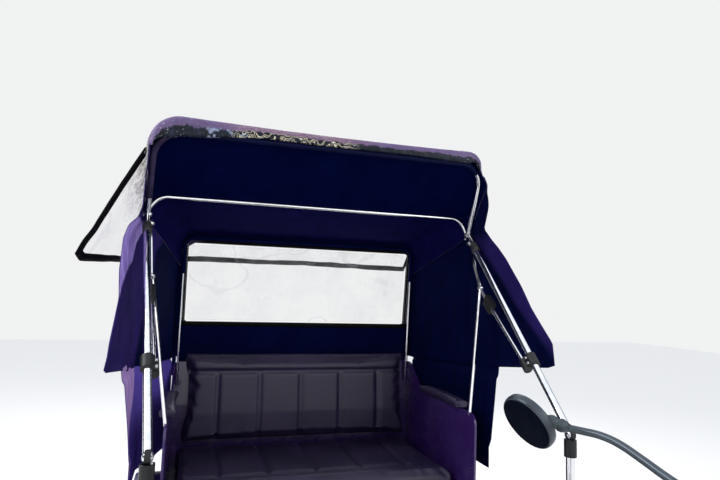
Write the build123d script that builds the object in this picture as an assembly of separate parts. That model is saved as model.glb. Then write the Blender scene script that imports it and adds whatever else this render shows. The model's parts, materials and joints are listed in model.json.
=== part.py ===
"""Three-wheeled cycle rickshaw with a passenger bench under a raised folding hood.

Frame while modelling: x forward from the rear axle, y to the vehicle's left, z up from the
ground, in millimetres. Every piece is shifted at the end so that the origin lies under the
middle of the whole vehicle's box.
"""
import os
from math import atan2, cos, hypot, pi, radians, sin, sqrt

from build123d import *

# Wheels, 26 inch by 2.125
WHEEL_R = 330.0
TYRE_W = 54.0
TYRE_DEPTH = 46.0
RIM_DEPTH = 20.0
RIM_W = 34.0
BRAKE_TRACK_H = 12.0
SPOKES = 36
SPOKE_D = 2.6
SPOKE_TURN = 62.0
HUB_R = 17.0
HUB_FLANGE_R = 30.0
HUB_FLANGE_T = 4.0
HUB_HALF = 46.0
FLANGE_HALF = 32.0
AXLE_BOLT_R = 5.0
AXLE_NUT_R = 19.0
AXLE_NUT_T = 10.0
WHEELBASE = 1900.0
WHEEL_SIDE_GAP = 23.0
RUN_GAP = 0.05

# Passenger body
PANEL_T = 8.0
BODY_HALF = 540.0
BODY_REAR_X = -300.0
BODY_LEAN = 45.0
BACK_TOP_Z = 1060.0
ARM_Z = 950.0
ARM_FRONT_X = 350.0
ARM_CURVE_R = 45.0
ARM_PAD_LEN = 360.0
ARM_PAD_W = 60.0
ARM_PAD_T = 30.0
SEAT_FRONT_X = 215.0
SEAT_Z = 610.0
SEAT_CUSHION_T = 105.0
SEAT_CUSHION_NOSE = 35.0
BACK_CUSHION_T = 95.0
BACK_TOP_STEP = 22.0
BACK_CUSHION_TOP = 1130.0
CUSHION_EDGE_R = 28.0
CUSHION_SIDE_GAP = 6.0
SOFT_GAP = 0.4
FENDER_GAP = 32.0
FENDER_T = 4.0
FENDER_LIP = 18.0
FENDER_LIP_T = 3.0
FRONT_FENDER_HALF = 36.0
DASH_TOP_Z = 800.0
DASH_LEAN = 70.0
DASH_ROLL_D = 24.0
DASH_BEAD_R = 6.0
DASH_BEADS = 3

# Chassis of round tube
RAIL_D = 38.0
RAIL_Y = 300.0
CROSS_INSET = 10.0
FLOOR_Z = 430.0
FLOOR_T = 4.0
FLOOR_CORNER_R = 40.0
REAR_CROSS_X = -330.0
AXLE_CROSS_X = 110.0
MID_CROSS_X = 480.0
FRONT_CROSS_X = 850.0
BUMPER_D = 32.0
BUMPER_BACK = 60.0
BUMPER_HALF = 480.0
BUMPER_STUB_D = 24.0

# Rear axle
HALF_SHAFT_R = 12.5
SHAFT_INNER_Y = 40.0
HANGER_INSET = 40.0
INNER_HANGER_Y = 120.0
HANGER_T = 12.0
BEARING_R = 26.0
DIFF_R = 52.0
DIFF_HALF = 75.0
DIFF_BEVEL = 10.0
DISC_R = 80.0
DISC_T = 3.0
DISC_INSET = 110.0
CALIPER_T = 26.0
CALIPER_LEN = 60.0
CALIPER_H = 46.0

# Chain drive
CHAIN_PITCH = 12.7
RING_TEETH = 36
SPROCKET_TEETH = 24
TOOTH_TIP = 3.0
RING_T = 3.0
CHAIN_HALF_H = 4.5
CHAIN_W = 9.0
CHAIN_SLOT = 4.6
CHAIN_Y = -60.0
CRANK_LEN = 170.0
CRANK_ARM_Y = 84.0
CRANK_ARM_T = 13.0
CRANK_BOSS_R = 17.0
CRANK_EYE_R = 14.0
RING_ARMS = 5
RING_ARM_D = 8.0
PEDAL_LEN = 92.0
PEDAL_W = 96.0
PEDAL_T = 24.0
PEDAL_END_GAP = 6.0
PEDAL_WALL = 8.0
PEDAL_BARREL_R = 13.0
PEDAL_PIN_R = 7.0

# Driver's frame
BB_SETBACK = 580.0
BB_Z = 300.0
BB_R = 22.0
BB_HALF = 36.0
SPINDLE_R = 8.5
SADDLE_SETBACK = 210.0
SADDLE_Z = 950.0
SADDLE_LEN = 265.0
SADDLE_W = 205.0
SADDLE_NOSE_W = 36.0
SADDLE_T = 42.0
SADDLE_EDGE_R = 12.0
RAIL_WIRE_D = 7.0
SEAT_TUBE_D = 34.0
SEAT_TUBE_TOP_Z = 700.0
SEAT_COLLAR_D = 42.0
SEAT_COLLAR_H = 22.0
SEAT_POST_D = 27.2
POST_INSERT = 160.0
POST_TILT_X = 10.0
MAIN_TUBE_D = 45.0
TOP_TUBE_D = 38.0
STAY_D = 28.0
STAY_Y = 230.0

# Steering
HEAD_ANGLE = 71.0
FORK_RAKE = 50.0
CROWN_CLEAR = 28.0
HEAD_CLEAR = 20.0
HEAD_LEN = 160.0
HEAD_D = 42.0
CUP_EXTRA = 4.0
STEERER_R = 14.3
FORK_LEG_D = 26.0
FORK_LEG_Y = 62.0
CROWN_H = 30.0
CROWN_W = 40.0
BRAKE_ARM_D = 11.0
BRAKE_ARM_LEN = 100.0
BRAKE_FORWARD = 22.0
PAD_LEN = 50.0
PAD_SIZE = 11.0
PAD_CLEAR = 6.0
STEM_RISE = 132.0
STEM_REACH = 55.0
STEM_D = 30.0
BAR_D = 25.0
BAR_RISE = 70.0
BAR_HALF = 330.0
BAR_SWEEP = 200.0
BAR_CENTRE = 78.0
BAR_BEND_RUN = 52.0
BAR_END_LEN = 193.0
BAR_TOE = 10.6
GRIP_D = 34.0
GRIP_LEN = 120.0
LEVER_CLAMP_AT = 153.0
LEVER_CLAMP_W = 18.0
LEVER_D = 9.0
LEVER_REACH = 44.0

# Hood cloth lines: x, top height, half width, corner radius and how far the sides hang down
HOOD_ROWS = [
    {"x": -272.0, "z": 1625.0, "half": BODY_HALF + 6.0, "corner": 70.0, "leg": 140.0},
    {"x": 30.0, "z": 1732.0, "half": BODY_HALF + 128.0, "corner": 80.0, "leg": 92.0},
    {"x": 223.0, "z": 1967.0, "half": BODY_HALF + 124.0, "corner": 98.0, "leg": 140.0},
]
CLOTH_T = 3.0
HOOD_TUBE_D = 22.0
THIN_BOW_D = 13.0
BOW_DROP = 36.0
THIN_BOW_DROP = 5.0
BOW_SIDE_GAP = 16.0
BOW_CORNER_R = 104.0
KNUCKLE = (58.0, BODY_HALF + 115.0, 1642.0)
KNUCKLE_R = 14.0
KNUCKLE_W = 26.0
KNUCKLE_LUG = (-24.0, -3.0, -12.0)
KNUCKLE_ROOM = 5.0
STRUT_FOOT = (FRONT_CROSS_X + 1.0, BODY_HALF + 11.0, 1005.0)
FOOT_BALL_R = 13.0
EYE_R = 16.0
EYE_W = 14.0
EYE_SOCKET_LEN = 46.0
SLEEVE_LEN = 46.0
SLEEVE_D = 29.0
STANCHION_D = 25.0
CLAMP_AT = 0.725
CLAMP_LEN = 42.0
CLAMP_D = 36.0
LINK_INBOARD = 15.0
LINK_STRAP_W = 16.0
LINK_STRAP_T = 4.0
LINK_EYE_R = 11.0
LINK_EYE_T = 8.0
LINK_TUBE_D = 14.0
LINK_PATH = [
    {"along": 62.0, "behind": 0.0},
    {"along": 288.0, "behind": 64.0},
    {"along": 395.0, "behind": 57.0},
    {"along": 741.0, "behind": 22.0},
]
JAW_LEN = 66.0
JAW_W = 44.0
JAW_GROOVE = 4.0
JAW_T = 20.0
JAW_TEETH = 5
PROP_D = 13.0
PROP_FOOT_X = 300.0
PROP_INSERT = 10.0
HEM_H = 52.0
HEM_T = 4.0
HEM_TAIL_W = 30.0
HEM_SHOULDER = 100.0
SIDE_LOW_Z = 1150.0
SIDE_FLAP_X = 600.0
SIDE_FLARE = 34.0
SIDE_STANDOFF = 4.0
SKIRT_FRONT_X = 262.0
SKIRT_LOW_Z = 730.0
WINDOW_HALF = BODY_HALF - 33.0
WINDOW_TOP_Z = 1575.0
WINDOW_LOW_Z = 1235.0
REAR_PANEL_X = -286.0
REAR_PANEL_DROP = 9.0
CURTAIN_T = 2.0
CURTAIN_LIFT = 2.6
CURTAIN_SIDE_LIFT = 19.0
CURTAIN_RIGHT_HALF = BODY_HALF - 70.0
CURTAIN_BACK_X = -430.0
CURTAIN_LOW_Z = 1500.0
CURTAIN_HEM_OUT = 285.0
CURTAIN_HEM_Z = 1470.0

# Mirror and lamps
MIRROR_R = 50.0
MIRROR_T = 30.0
MIRROR_RIM = 5.0
MIRROR_BACK = 175.0
MIRROR_IN = 210.0
MIRROR_UP = 89.0
MIRROR_CLAMP_AT = 130.0
STALK_D = 12.0
LAMP_R = 38.0
LAMP_LEN = 70.0
LAMP_FORWARD = 88.0
TAIL_R = 35.0
TAIL_T = 22.0
TAIL_Y = 440.0
TAIL_Z = 760.0

# Derived places
RIM_R = WHEEL_R - TYRE_DEPTH
AXLE_Z = WHEEL_R
WHEEL_Y = BODY_HALF + WHEEL_SIDE_GAP + TYRE_W / 2
FENDER_W = TYRE_W + 2 * WHEEL_SIDE_GAP
CHASSIS_Z = FLOOR_Z - FLOOR_T - RAIL_D / 2
CROSS_HALF = BODY_HALF - CROSS_INSET
OUTER_HANGER_Y = BODY_HALF - HANGER_INSET
DISC_Y = BODY_HALF - DISC_INSET
DASH_X = FRONT_CROSS_X + 30.0
BB_X = WHEELBASE - BB_SETBACK
SADDLE_X = BB_X - SADDLE_SETBACK
FENDER_R = WHEEL_R + FENDER_GAP
CROWN_ALONG = FENDER_R + FENDER_T + CROWN_CLEAR
HEAD_LOW = CROWN_ALONG + HEAD_CLEAR
FRONT_EXTENT = WHEELBASE + WHEEL_R
REAR_EXTENT = CURTAIN_BACK_X - CURTAIN_T * 0.6
X_MID = (FRONT_EXTENT + REAR_EXTENT) / 2
RIGHT_EXTENT = -BODY_HALF - CURTAIN_HEM_OUT
FLAP_END_X = SIDE_FLAP_X + 40.0
FLAP_SHARE = (SIDE_FLAP_X - HOOD_ROWS[2]["x"]) / (FLAP_END_X - HOOD_ROWS[2]["x"])
WALL_Y = KNUCKLE[1] + SLEEVE_D / 2 + KNUCKLE_ROOM
FLARE_Y = HOOD_ROWS[2]["half"] + SIDE_FLARE
LEFT_EXTENT = WALL_Y + (FLARE_Y - WALL_Y) * FLAP_SHARE + CLOTH_T
Y_MID = (RIGHT_EXTENT + LEFT_EXTENT) / 2
STEER_DIR = Vector(-cos(radians(HEAD_ANGLE)), 0, sin(radians(HEAD_ANGLE)))
STEER_FWD = Vector(sin(radians(HEAD_ANGLE)), 0, cos(radians(HEAD_ANGLE)))
FRONT_AXLE = Vector(WHEELBASE, 0, AXLE_Z)
STEER_BASE = FRONT_AXLE - STEER_FWD * FORK_RAKE

parts = {}


def steer_point(along, forward=0.0, y=0.0):
    """Point at a distance up the steering axis and a distance ahead of it."""
    return STEER_BASE + STEER_DIR * along + STEER_FWD * forward + Vector(0, y, 0)


def rod(start, end, diameter):
    """Straight round bar between two points."""
    start, end = Vector(start), Vector(end)
    run = end - start
    bar = Cylinder(diameter / 2, run.length, align=(Align.CENTER, Align.CENTER, Align.MIN))
    return Plane(origin=start, z_dir=run) * bar


def bent_bar(points, diameter, radii):
    """Round bar along straight runs joined by arcs."""
    path = FilletPolyline(*[Vector(p) for p in points], radius=radii)
    section = Plane(origin=path @ 0, z_dir=path % 0) * Circle(diameter / 2)
    return sweep(section, path=path)


def turned(radius, length, centre):
    """Cylinder about a cross-wise axis, centred on a point."""
    return Pos(*centre) * Rot(90, 0, 0) * Cylinder(radius, length)


def xz_plate(points, y_low, y_high):
    """Flat plate with an outline in x and z, between two y values."""
    face = make_face(Polyline(*[(x, 0, z) for x, z in points], close=True))
    return Pos(0, y_low, 0) * extrude(face, amount=y_high - y_low, dir=(0, 1, 0))


def pair(shape):
    """The shape and its mirror image across the vehicle's middle."""
    return [shape, mirror(shape, about=Plane.XZ)]


def add(name, *shapes):
    """Keep solids as one named node."""
    solids = []
    for shape in shapes:
        solids += shape.solids()
    parts[name] = solids


# Wheels


def make_tyre(centre):
    """Round tyre with its bead seat cut flat."""
    tube_r = TYRE_W / 2
    section = Plane.XY * Pos(WHEEL_R - tube_r, 0) * Circle(tube_r)
    bead = Plane.XY * Pos((RIM_R + RUN_GAP) / 2, 0) * Rectangle(RIM_R + RUN_GAP, TYRE_W * 2)
    return Pos(*centre) * revolve(section - bead, axis=Axis.Y)


def make_laced_wheel(centre, bore_r):
    """Rim with brake tracks, hub with two flanges and crossed spokes, fused."""
    bed_r, bed_half = RIM_R - RIM_DEPTH, RIM_W * 0.3
    track_r = RIM_R - BRAKE_TRACK_H
    rim_half_outline = [(RIM_R, RIM_W / 2), (track_r, RIM_W / 2), (bed_r, bed_half)]
    rim_outline = rim_half_outline + [(r, -half) for r, half in rim_half_outline[::-1]]
    wheel = revolve(make_face(Polyline(*rim_outline, close=True)), axis=Axis.Y)
    hub = turned(HUB_R, 2 * HUB_HALF, (0, 0, 0))
    for side in (-1, 1):
        hub += turned(HUB_FLANGE_R, HUB_FLANGE_T, (0, side * FLANGE_HALF, 0))
    head_r = HUB_FLANGE_R - 4
    nipple_r = bed_r + 3
    spokes = []
    for index in range(SPOKES):
        side = 1 if index % 2 else -1
        lean = 1 if index % 4 < 2 else -1
        outer = 2 * pi * index / SPOKES
        inner = outer + lean * radians(SPOKE_TURN)
        hub_point = Vector(head_r * cos(inner), side * FLANGE_HALF, head_r * sin(inner))
        rim_point = Vector(nipple_r * cos(outer), side * 4, nipple_r * sin(outer))
        run = rim_point - hub_point
        section = Plane(origin=hub_point, z_dir=run) * RegularPolygon(SPOKE_D / 2, 4)
        spokes.append(extrude(section, amount=run.length, dir=run))
    wheel = wheel.fuse(hub, *spokes)
    wheel -= turned(bore_r, 4 * HUB_HALF, (0, 0, 0))
    return Pos(*centre) * wheel


def make_half_shaft(sign):
    """Driven shaft of one rear wheel with its brake disc and hub nut."""
    end_y = WHEEL_Y + HUB_HALF + AXLE_NUT_T
    mid_y = sign * (end_y + SHAFT_INNER_Y) / 2
    nut_y = sign * (WHEEL_Y + HUB_HALF + AXLE_NUT_T / 2)
    shaft = turned(HALF_SHAFT_R, end_y - SHAFT_INNER_Y, (0, mid_y, AXLE_Z))
    shaft += turned(AXLE_NUT_R, AXLE_NUT_T - 2 * RUN_GAP, (0, nut_y, AXLE_Z))
    shaft += turned(DISC_R, DISC_T, (0, sign * DISC_Y, AXLE_Z))
    return shaft


add("front_tyre", make_tyre(tuple(FRONT_AXLE)))
add("front_wheel", make_laced_wheel(tuple(FRONT_AXLE), AXLE_BOLT_R + RUN_GAP))
for side, sign in (("left", 1), ("right", -1)):
    wheel_centre = (0, sign * WHEEL_Y, AXLE_Z)
    add("rear_tyre_" + side, make_tyre(wheel_centre))
    add("rear_wheel_" + side, make_laced_wheel(wheel_centre, HALF_SHAFT_R + RUN_GAP))
    add("half_shaft_" + side, make_half_shaft(sign))

# Chassis ladder: cross tubes that run through the rails, or between and beside them
cross_rows = [
    {"x": REAR_CROSS_X, "half": CROSS_HALF, "through": True},
    {"x": -AXLE_CROSS_X, "half": CROSS_HALF, "through": False},
    {"x": AXLE_CROSS_X, "half": CROSS_HALF, "through": False},
    {"x": MID_CROSS_X, "half": CROSS_HALF, "through": False},
    {"x": FRONT_CROSS_X, "half": STRUT_FOOT[1] + STANCHION_D / 2, "through": True},
]
rails = pair(rod((REAR_CROSS_X, RAIL_Y, CHASSIS_Z), (FRONT_CROSS_X, RAIL_Y, CHASSIS_Z), RAIL_D))
cross_tubes = []
for row in cross_rows:
    bar = rod((row["x"], -row["half"], CHASSIS_Z), (row["x"], row["half"], CHASSIS_Z), RAIL_D)
    if row["through"]:
        rails = [rail - bar for rail in rails]
    else:
        bar = bar - rails[0] - rails[1]
    cross_tubes.append(bar)
add("chassis_rails", *rails)
add("chassis_cross_tubes", *cross_tubes)

# Bearing hangers under the ladder, and the calipers beside the discs
hanger_top = CHASSIS_Z - RAIL_D / 2
hanger_half = AXLE_CROSS_X + 20
hanger_outline = [
    (-hanger_half, hanger_top),
    (-BEARING_R, AXLE_Z - BEARING_R / 2),
    (BEARING_R, AXLE_Z - BEARING_R / 2),
    (hanger_half, hanger_top),
]
hangers = []
for hanger_y in (OUTER_HANGER_Y, INNER_HANGER_Y):
    plate = xz_plate(hanger_outline, hanger_y - HANGER_T / 2, hanger_y + HANGER_T / 2)
    plate += turned(BEARING_R, 2 * HANGER_T, (0, hanger_y, AXLE_Z))
    plate -= turned(HALF_SHAFT_R + RUN_GAP, 4 * HANGER_T, (0, hanger_y, AXLE_Z))
    hangers += pair(plate)
add("axle_hangers", *hangers)

caliper_at = (-DISC_R, DISC_Y, AXLE_Z + CALIPER_H / 2 - 1)
caliper = Pos(*caliper_at) * Box(CALIPER_LEN, CALIPER_T, CALIPER_H)
caliper = fillet(caliper.edges().filter_by(Axis.Y), 8)
bracket_h = 32
bracket = Box(24, CALIPER_T, bracket_h)
caliper += Pos(-AXLE_CROSS_X + 2, DISC_Y, hanger_top - bracket_h / 2) * bracket
disc_slot = turned(DISC_R + 4, DISC_T + 4, (0, DISC_Y, AXLE_Z))
add("rear_calipers", *pair(caliper - disc_slot))

# Chain drive to the differential
ring_r = CHAIN_PITCH / 2 / sin(pi / RING_TEETH)
sprocket_r = CHAIN_PITCH / 2 / sin(pi / SPROCKET_TEETH)
ring_centre = (BB_X, CHAIN_Y, BB_Z)
sprocket_centre = (0, CHAIN_Y, AXLE_Z)


def sprocket(teeth, centre):
    """Toothed disc cut from a many-sided outline, with one tooth for each link."""
    pitch_r = CHAIN_PITCH / 2 / sin(pi / teeth)
    points = []
    for index in range(teeth):
        for part_turn, reach in ((0.0, -TOOTH_TIP), (0.3, TOOTH_TIP), (0.7, TOOTH_TIP)):
            angle = 2 * pi * (index + part_turn) / teeth
            points.append(((pitch_r + reach) * cos(angle), (pitch_r + reach) * sin(angle)))
    face = Plane.XZ * make_face(Polyline(*points, close=True))
    return Pos(*centre) * extrude(face, amount=RING_T / 2, both=True)


def belt(offset, thick):
    """Solid inside the chain's loop, offset from the pitch line."""
    drop = BB_Z - AXLE_Z
    big, small = ring_r + offset, sprocket_r + offset
    tilt = atan2(drop, BB_X)
    off = (big - small) / hypot(BB_X, drop)
    ends = []
    for turn in (1, -1):
        angle = tilt + turn * (pi / 2 + atan2(off, sqrt(1 - off * off)))
        ends.append((small * cos(angle), AXLE_Z + small * sin(angle)))
        ends.append((BB_X + big * cos(angle), BB_Z + big * sin(angle)))
    quad = xz_plate([ends[0], ends[1], ends[3], ends[2]], -thick / 2, thick / 2)
    shape = quad + turned(small, thick, (0, 0, AXLE_Z)) + turned(big, thick, (BB_X, 0, BB_Z))
    return Pos(0, CHAIN_Y, 0) * shape


chain = belt(CHAIN_HALF_H, CHAIN_W) - belt(-CHAIN_HALF_H, 2 * CHAIN_W)
for radius, centre in ((ring_r, ring_centre), (sprocket_r, sprocket_centre)):
    chain -= turned(radius + TOOTH_TIP + 0.6, CHAIN_SLOT, centre)
add("chain", chain)

diff_low = CHAIN_Y + CHAIN_W + 3
diff = turned(DIFF_R, DIFF_HALF - diff_low, (0, (DIFF_HALF + diff_low) / 2, AXLE_Z))
diff = chamfer(diff.edges().filter_by(GeomType.CIRCLE), DIFF_BEVEL)
diff += turned(DIFF_R * 0.6, 2 * DIFF_HALF, (0, 0, AXLE_Z))
diff += sprocket(SPROCKET_TEETH, sprocket_centre)
for sign in (-1, 1):
    bore_len = DIFF_HALF - SHAFT_INNER_Y + 1
    bore_mid = sign * (DIFF_HALF + SHAFT_INNER_Y - 1) / 2
    diff -= turned(HALF_SHAFT_R + RUN_GAP, bore_len, (0, bore_mid, AXLE_Z))
add("differential", diff)

# Cranks with chainring and pedal pins, and two caged pedals
crank_half = CRANK_ARM_Y + CRANK_ARM_T / 2
crank = turned(SPINDLE_R, 2 * crank_half, (BB_X, 0, BB_Z))
chainring = sprocket(RING_TEETH, ring_centre)
crank += chainring - turned(ring_r - 14, 4 * RING_T, ring_centre)
for index in range(RING_ARMS):
    angle = 2 * pi * index / RING_ARMS + pi / 10
    arm_r = ring_r - 9
    arm_end = (BB_X + arm_r * cos(angle), CHAIN_Y, BB_Z + arm_r * sin(angle))
    crank += rod((BB_X, CHAIN_Y - 4, BB_Z), arm_end, RING_ARM_D)
for side, sign, turn in (("right", -1, 1), ("left", 1, -1)):
    tip_x = BB_X + turn * CRANK_LEN
    arm_y = sign * CRANK_ARM_Y
    arm_outline = [
        (BB_X, BB_Z - CRANK_BOSS_R * 0.8),
        (tip_x, BB_Z - CRANK_EYE_R * 0.8),
        (tip_x, BB_Z + CRANK_EYE_R * 0.8),
        (BB_X, BB_Z + CRANK_BOSS_R * 0.8),
    ]
    arm = xz_plate(arm_outline, arm_y - CRANK_ARM_T / 2, arm_y + CRANK_ARM_T / 2)
    arm += turned(CRANK_BOSS_R, CRANK_ARM_T, (BB_X, arm_y, BB_Z))
    arm += turned(CRANK_EYE_R, CRANK_ARM_T, (tip_x, arm_y, BB_Z))
    pin_mid = (tip_x, sign * (crank_half + PEDAL_W / 2), BB_Z)
    crank += arm + turned(PEDAL_PIN_R, PEDAL_W, pin_mid)
    body_w = PEDAL_W - 2 * PEDAL_END_GAP
    pedal = fillet(Box(PEDAL_LEN, body_w, PEDAL_T).edges().filter_by(Axis.Z), 10)
    window_len = PEDAL_LEN / 2 - PEDAL_WALL - PEDAL_BARREL_R
    for end in (-1, 1):
        window_x = end * (PEDAL_BARREL_R + window_len / 2)
        pedal -= Pos(window_x, 0, 0) * Box(window_len, body_w - 2 * PEDAL_WALL, 2 * PEDAL_T)
    pedal = Pos(*pin_mid) * pedal
    pedal -= turned(PEDAL_PIN_R + RUN_GAP, 3 * PEDAL_W, pin_mid)
    add("pedal_" + side, pedal)
add("crankset", crank)

# Driver's frame: head tube, seat tube, bottom bracket and the tubes between them
bb_point = Vector(BB_X, 0, BB_Z)
saddle_low = SADDLE_Z - SADDLE_T
post_dir = Vector(SADDLE_X + POST_TILT_X - BB_X, 0, SADDLE_Z - 30 - BB_Z).normalized()
seat_tube_top = bb_point + post_dir * ((SEAT_TUBE_TOP_Z - BB_Z) / post_dir.Z)
post_bottom = seat_tube_top - post_dir * POST_INSERT
head_low = steer_point(HEAD_LOW)
head_top = steer_point(HEAD_LOW + HEAD_LEN)
down_tube_top = steer_point(HEAD_LOW + 32)
top_tube_front = steer_point(HEAD_LOW + HEAD_LEN - 30)
boom_rear = Vector(FRONT_CROSS_X, 0, CHASSIS_Z)
stay_top = seat_tube_top - post_dir * 40
stay_feet = [Vector(FRONT_CROSS_X, sign * STAY_Y, CHASSIS_Z + 4) for sign in (-1, 1)]
frame = rod(head_low, head_top, HEAD_D)
frame += turned(BB_R, 2 * BB_HALF, tuple(bb_point))
frame += rod(bb_point, seat_tube_top, SEAT_TUBE_D)
frame += rod(seat_tube_top - post_dir * SEAT_COLLAR_H, seat_tube_top, SEAT_COLLAR_D)
frame += rod(down_tube_top, bb_point, MAIN_TUBE_D)
frame += rod(top_tube_front, seat_tube_top - post_dir * 60, TOP_TUBE_D)
frame += rod(bb_point, boom_rear, MAIN_TUBE_D)
for stay_foot in stay_feet:
    frame += rod(stay_top, stay_foot, STAY_D)
frame -= cross_tubes[-1]
frame -= rod(head_low - STEER_DIR * 60, head_low, 4 * HEAD_D)
frame -= rod(head_low - STEER_DIR * 30, head_top + STEER_DIR * 30, 2 * (STEERER_R + RUN_GAP))
frame -= turned(SPINDLE_R + RUN_GAP, 4 * BB_HALF, tuple(bb_point))
frame -= rod(post_bottom, seat_tube_top + post_dir * 10, SEAT_POST_D + 2 * RUN_GAP)
add("driver_frame", frame)

# Seat post with its clamp and the wire rails under the saddle
clamp_h = 24
clamp_top = saddle_low - RAIL_WIRE_D / 2
post_top = bb_point + post_dir * ((clamp_top - clamp_h / 2 - BB_Z) / post_dir.Z)
post = rod(post_bottom, post_top, SEAT_POST_D)
post += Pos(post_top.X, 0, clamp_top - clamp_h / 2) * Box(46, 56, clamp_h)
rail_y = 22
rail_low = clamp_top - clamp_h / 2
rail_rear, rail_front = SADDLE_X - SADDLE_LEN * 0.38, SADDLE_X + SADDLE_LEN * 0.32
for sign in (-1, 1):
    rail_points = [
        (rail_rear, sign * rail_y * 1.4, saddle_low - 0.3),
        (rail_rear + 22, sign * rail_y, rail_low),
        (rail_front - 22, sign * rail_y, rail_low),
        (rail_front, sign * rail_y * 0.5, saddle_low - 0.3),
    ]
    post += bent_bar(rail_points, RAIL_WIRE_D, 8)
post -= Pos(SADDLE_X, 0, SADDLE_Z - 0.3 - SADDLE_T / 2) * Box(2 * SADDLE_LEN, SADDLE_W, SADDLE_T)
add("seat_post", post)

# Saddle: half of its plan, from the tip of the nose to the middle of the rear edge
saddle_half = [
    (SADDLE_LEN * 0.5, SADDLE_NOSE_W / 2),
    (SADDLE_LEN * 0.08, SADDLE_NOSE_W * 0.62),
    (-SADDLE_LEN * 0.24, SADDLE_W / 2),
    (-SADDLE_LEN * 0.42, SADDLE_W / 2),
    (-SADDLE_LEN * 0.5, SADDLE_W * 0.28),
]
saddle_plan = saddle_half + [(x, -y) for x, y in saddle_half[::-1]]
saddle_face = make_face(Polyline(*saddle_plan, close=True))
saddle_face = fillet(saddle_face.vertices(), SADDLE_EDGE_R)
saddle = extrude(Pos(SADDLE_X, 0, saddle_low) * saddle_face, amount=SADDLE_T)
saddle = fillet(saddle.faces().sort_by(Axis.Z)[-1].edges(), SADDLE_EDGE_R * 0.9)
add("saddle", saddle)

# Fork with crown, raked legs, dropouts, fender hanger and rim brake arms
fork = rod(steer_point(CROWN_ALONG - 4), steer_point(HEAD_LOW + HEAD_LEN + 34), 2 * STEERER_R)
crown = Plane(origin=steer_point(CROWN_ALONG), z_dir=STEER_DIR, x_dir=STEER_FWD)
fork += crown * Box(CROWN_W, 2 * FORK_LEG_Y + FORK_LEG_D, CROWN_H)
rim_track_r = RIM_R - BRAKE_TRACK_H * 0.85
pad_forward = FORK_RAKE - BRAKE_FORWARD
pad_along = sqrt(rim_track_r**2 - pad_forward**2)
arm_low = pad_along - BRAKE_ARM_LEN * 0.25
arm_high = pad_along + BRAKE_ARM_LEN * 0.75
pad_y = RIM_W / 2 + PAD_CLEAR + PAD_SIZE / 2
for sign in (-1, 1):
    leg = [
        steer_point(CROWN_ALONG, 0, sign * FORK_LEG_Y),
        steer_point(CROWN_ALONG * 0.4, 0, sign * FORK_LEG_Y),
        FRONT_AXLE + Vector(0, sign * FORK_LEG_Y, 0),
    ]
    fork += bent_bar(leg, FORK_LEG_D, 400)
    fork += turned(20, 12, (WHEELBASE, sign * (HUB_HALF + 6.5), AXLE_Z))
    stud_end = steer_point(arm_low, BRAKE_FORWARD + 6, sign * (FORK_LEG_Y - 14))
    fork += rod(steer_point(arm_low, 0, sign * FORK_LEG_Y), stud_end, BRAKE_ARM_D + 1)
    arm_foot = steer_point(arm_low, BRAKE_FORWARD, sign * (FORK_LEG_Y - 14))
    arm_tip = steer_point(arm_high, BRAKE_FORWARD, sign * (FORK_LEG_Y - 18))
    fork += rod(arm_foot, arm_tip, BRAKE_ARM_D)
    pad_at = steer_point(pad_along, BRAKE_FORWARD, sign * pad_y)
    fork += rod(pad_at, steer_point(pad_along, BRAKE_FORWARD, sign * (FORK_LEG_Y - 15)), 7)
    pad_plane = Plane(origin=pad_at, z_dir=STEER_DIR, x_dir=STEER_FWD)
    fork += pad_plane * Box(PAD_LEN, PAD_SIZE, PAD_SIZE)
fork += turned(AXLE_BOLT_R, 2 * FORK_LEG_Y + 46, tuple(FRONT_AXLE))
fender_top = FENDER_R + FENDER_T
fender_hanger = rod(steer_point(fender_top - 20, 14), steer_point(CROWN_ALONG, 14), 14)
fork += fender_hanger - turned(fender_top + 0.2, 200, tuple(FRONT_AXLE))
cup_r = HEAD_D / 2 + CUP_EXTRA
fork += rod(steer_point(CROWN_ALONG + 15), steer_point(HEAD_LOW - 0.5), 2 * cup_r)
add("fork", fork)

# Stem with the upper headset cup
stem_foot = steer_point(HEAD_LOW + HEAD_LEN + 0.5)
stem_top = steer_point(HEAD_LOW + HEAD_LEN + STEM_RISE)
clamp_point = steer_point(HEAD_LOW + HEAD_LEN + STEM_RISE, STEM_REACH)
stem = rod(stem_foot, stem_foot + STEER_DIR * 12, 2 * cup_r)
stem += rod(stem_foot, stem_top + STEER_DIR * 14, STEM_D)
stem += rod(stem_top, clamp_point, STEM_D - 4)
stem += turned(BAR_D / 2 + 7.5, 52, tuple(clamp_point))
stem -= rod(
    stem_foot - STEER_DIR * 5, steer_point(HEAD_LOW + HEAD_LEN + 35), 2 * (STEERER_R + RUN_GAP)
)
stem -= turned(BAR_D / 2 + RUN_GAP, 80, tuple(clamp_point))
add("stem", stem)

# Swept handlebar, its grips and brake levers
grip_x = clamp_point.X - BAR_SWEEP
grip_z = clamp_point.Z + BAR_RISE


def bar_end_frame(sign):
    """End of one side of the bar, and the direction from there along the grip."""
    end = Vector(grip_x, sign * BAR_HALF, grip_z - 6)
    toe = radians(BAR_TOE)
    along = Vector(cos(toe), -sign * sin(toe), 6 / BAR_END_LEN).normalized()
    return end, along


bar_half_points = []
bar_end, bar_along = bar_end_frame(1)
for point in (
    bar_end,
    bar_end + bar_along * BAR_END_LEN,
    Vector(clamp_point.X + 10, BAR_CENTRE + BAR_BEND_RUN, grip_z - 4),
    Vector(clamp_point.X, BAR_CENTRE, clamp_point.Z),
):
    bar_half_points.append((point.X, point.Y, point.Z))
bar_points = bar_half_points + [(x, -y, z) for x, y, z in bar_half_points[::-1]]
bar_radii = [30, 28, 28]
bar = bent_bar(bar_points, BAR_D, bar_radii + bar_radii[::-1])
add("handlebar", bar)

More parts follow.
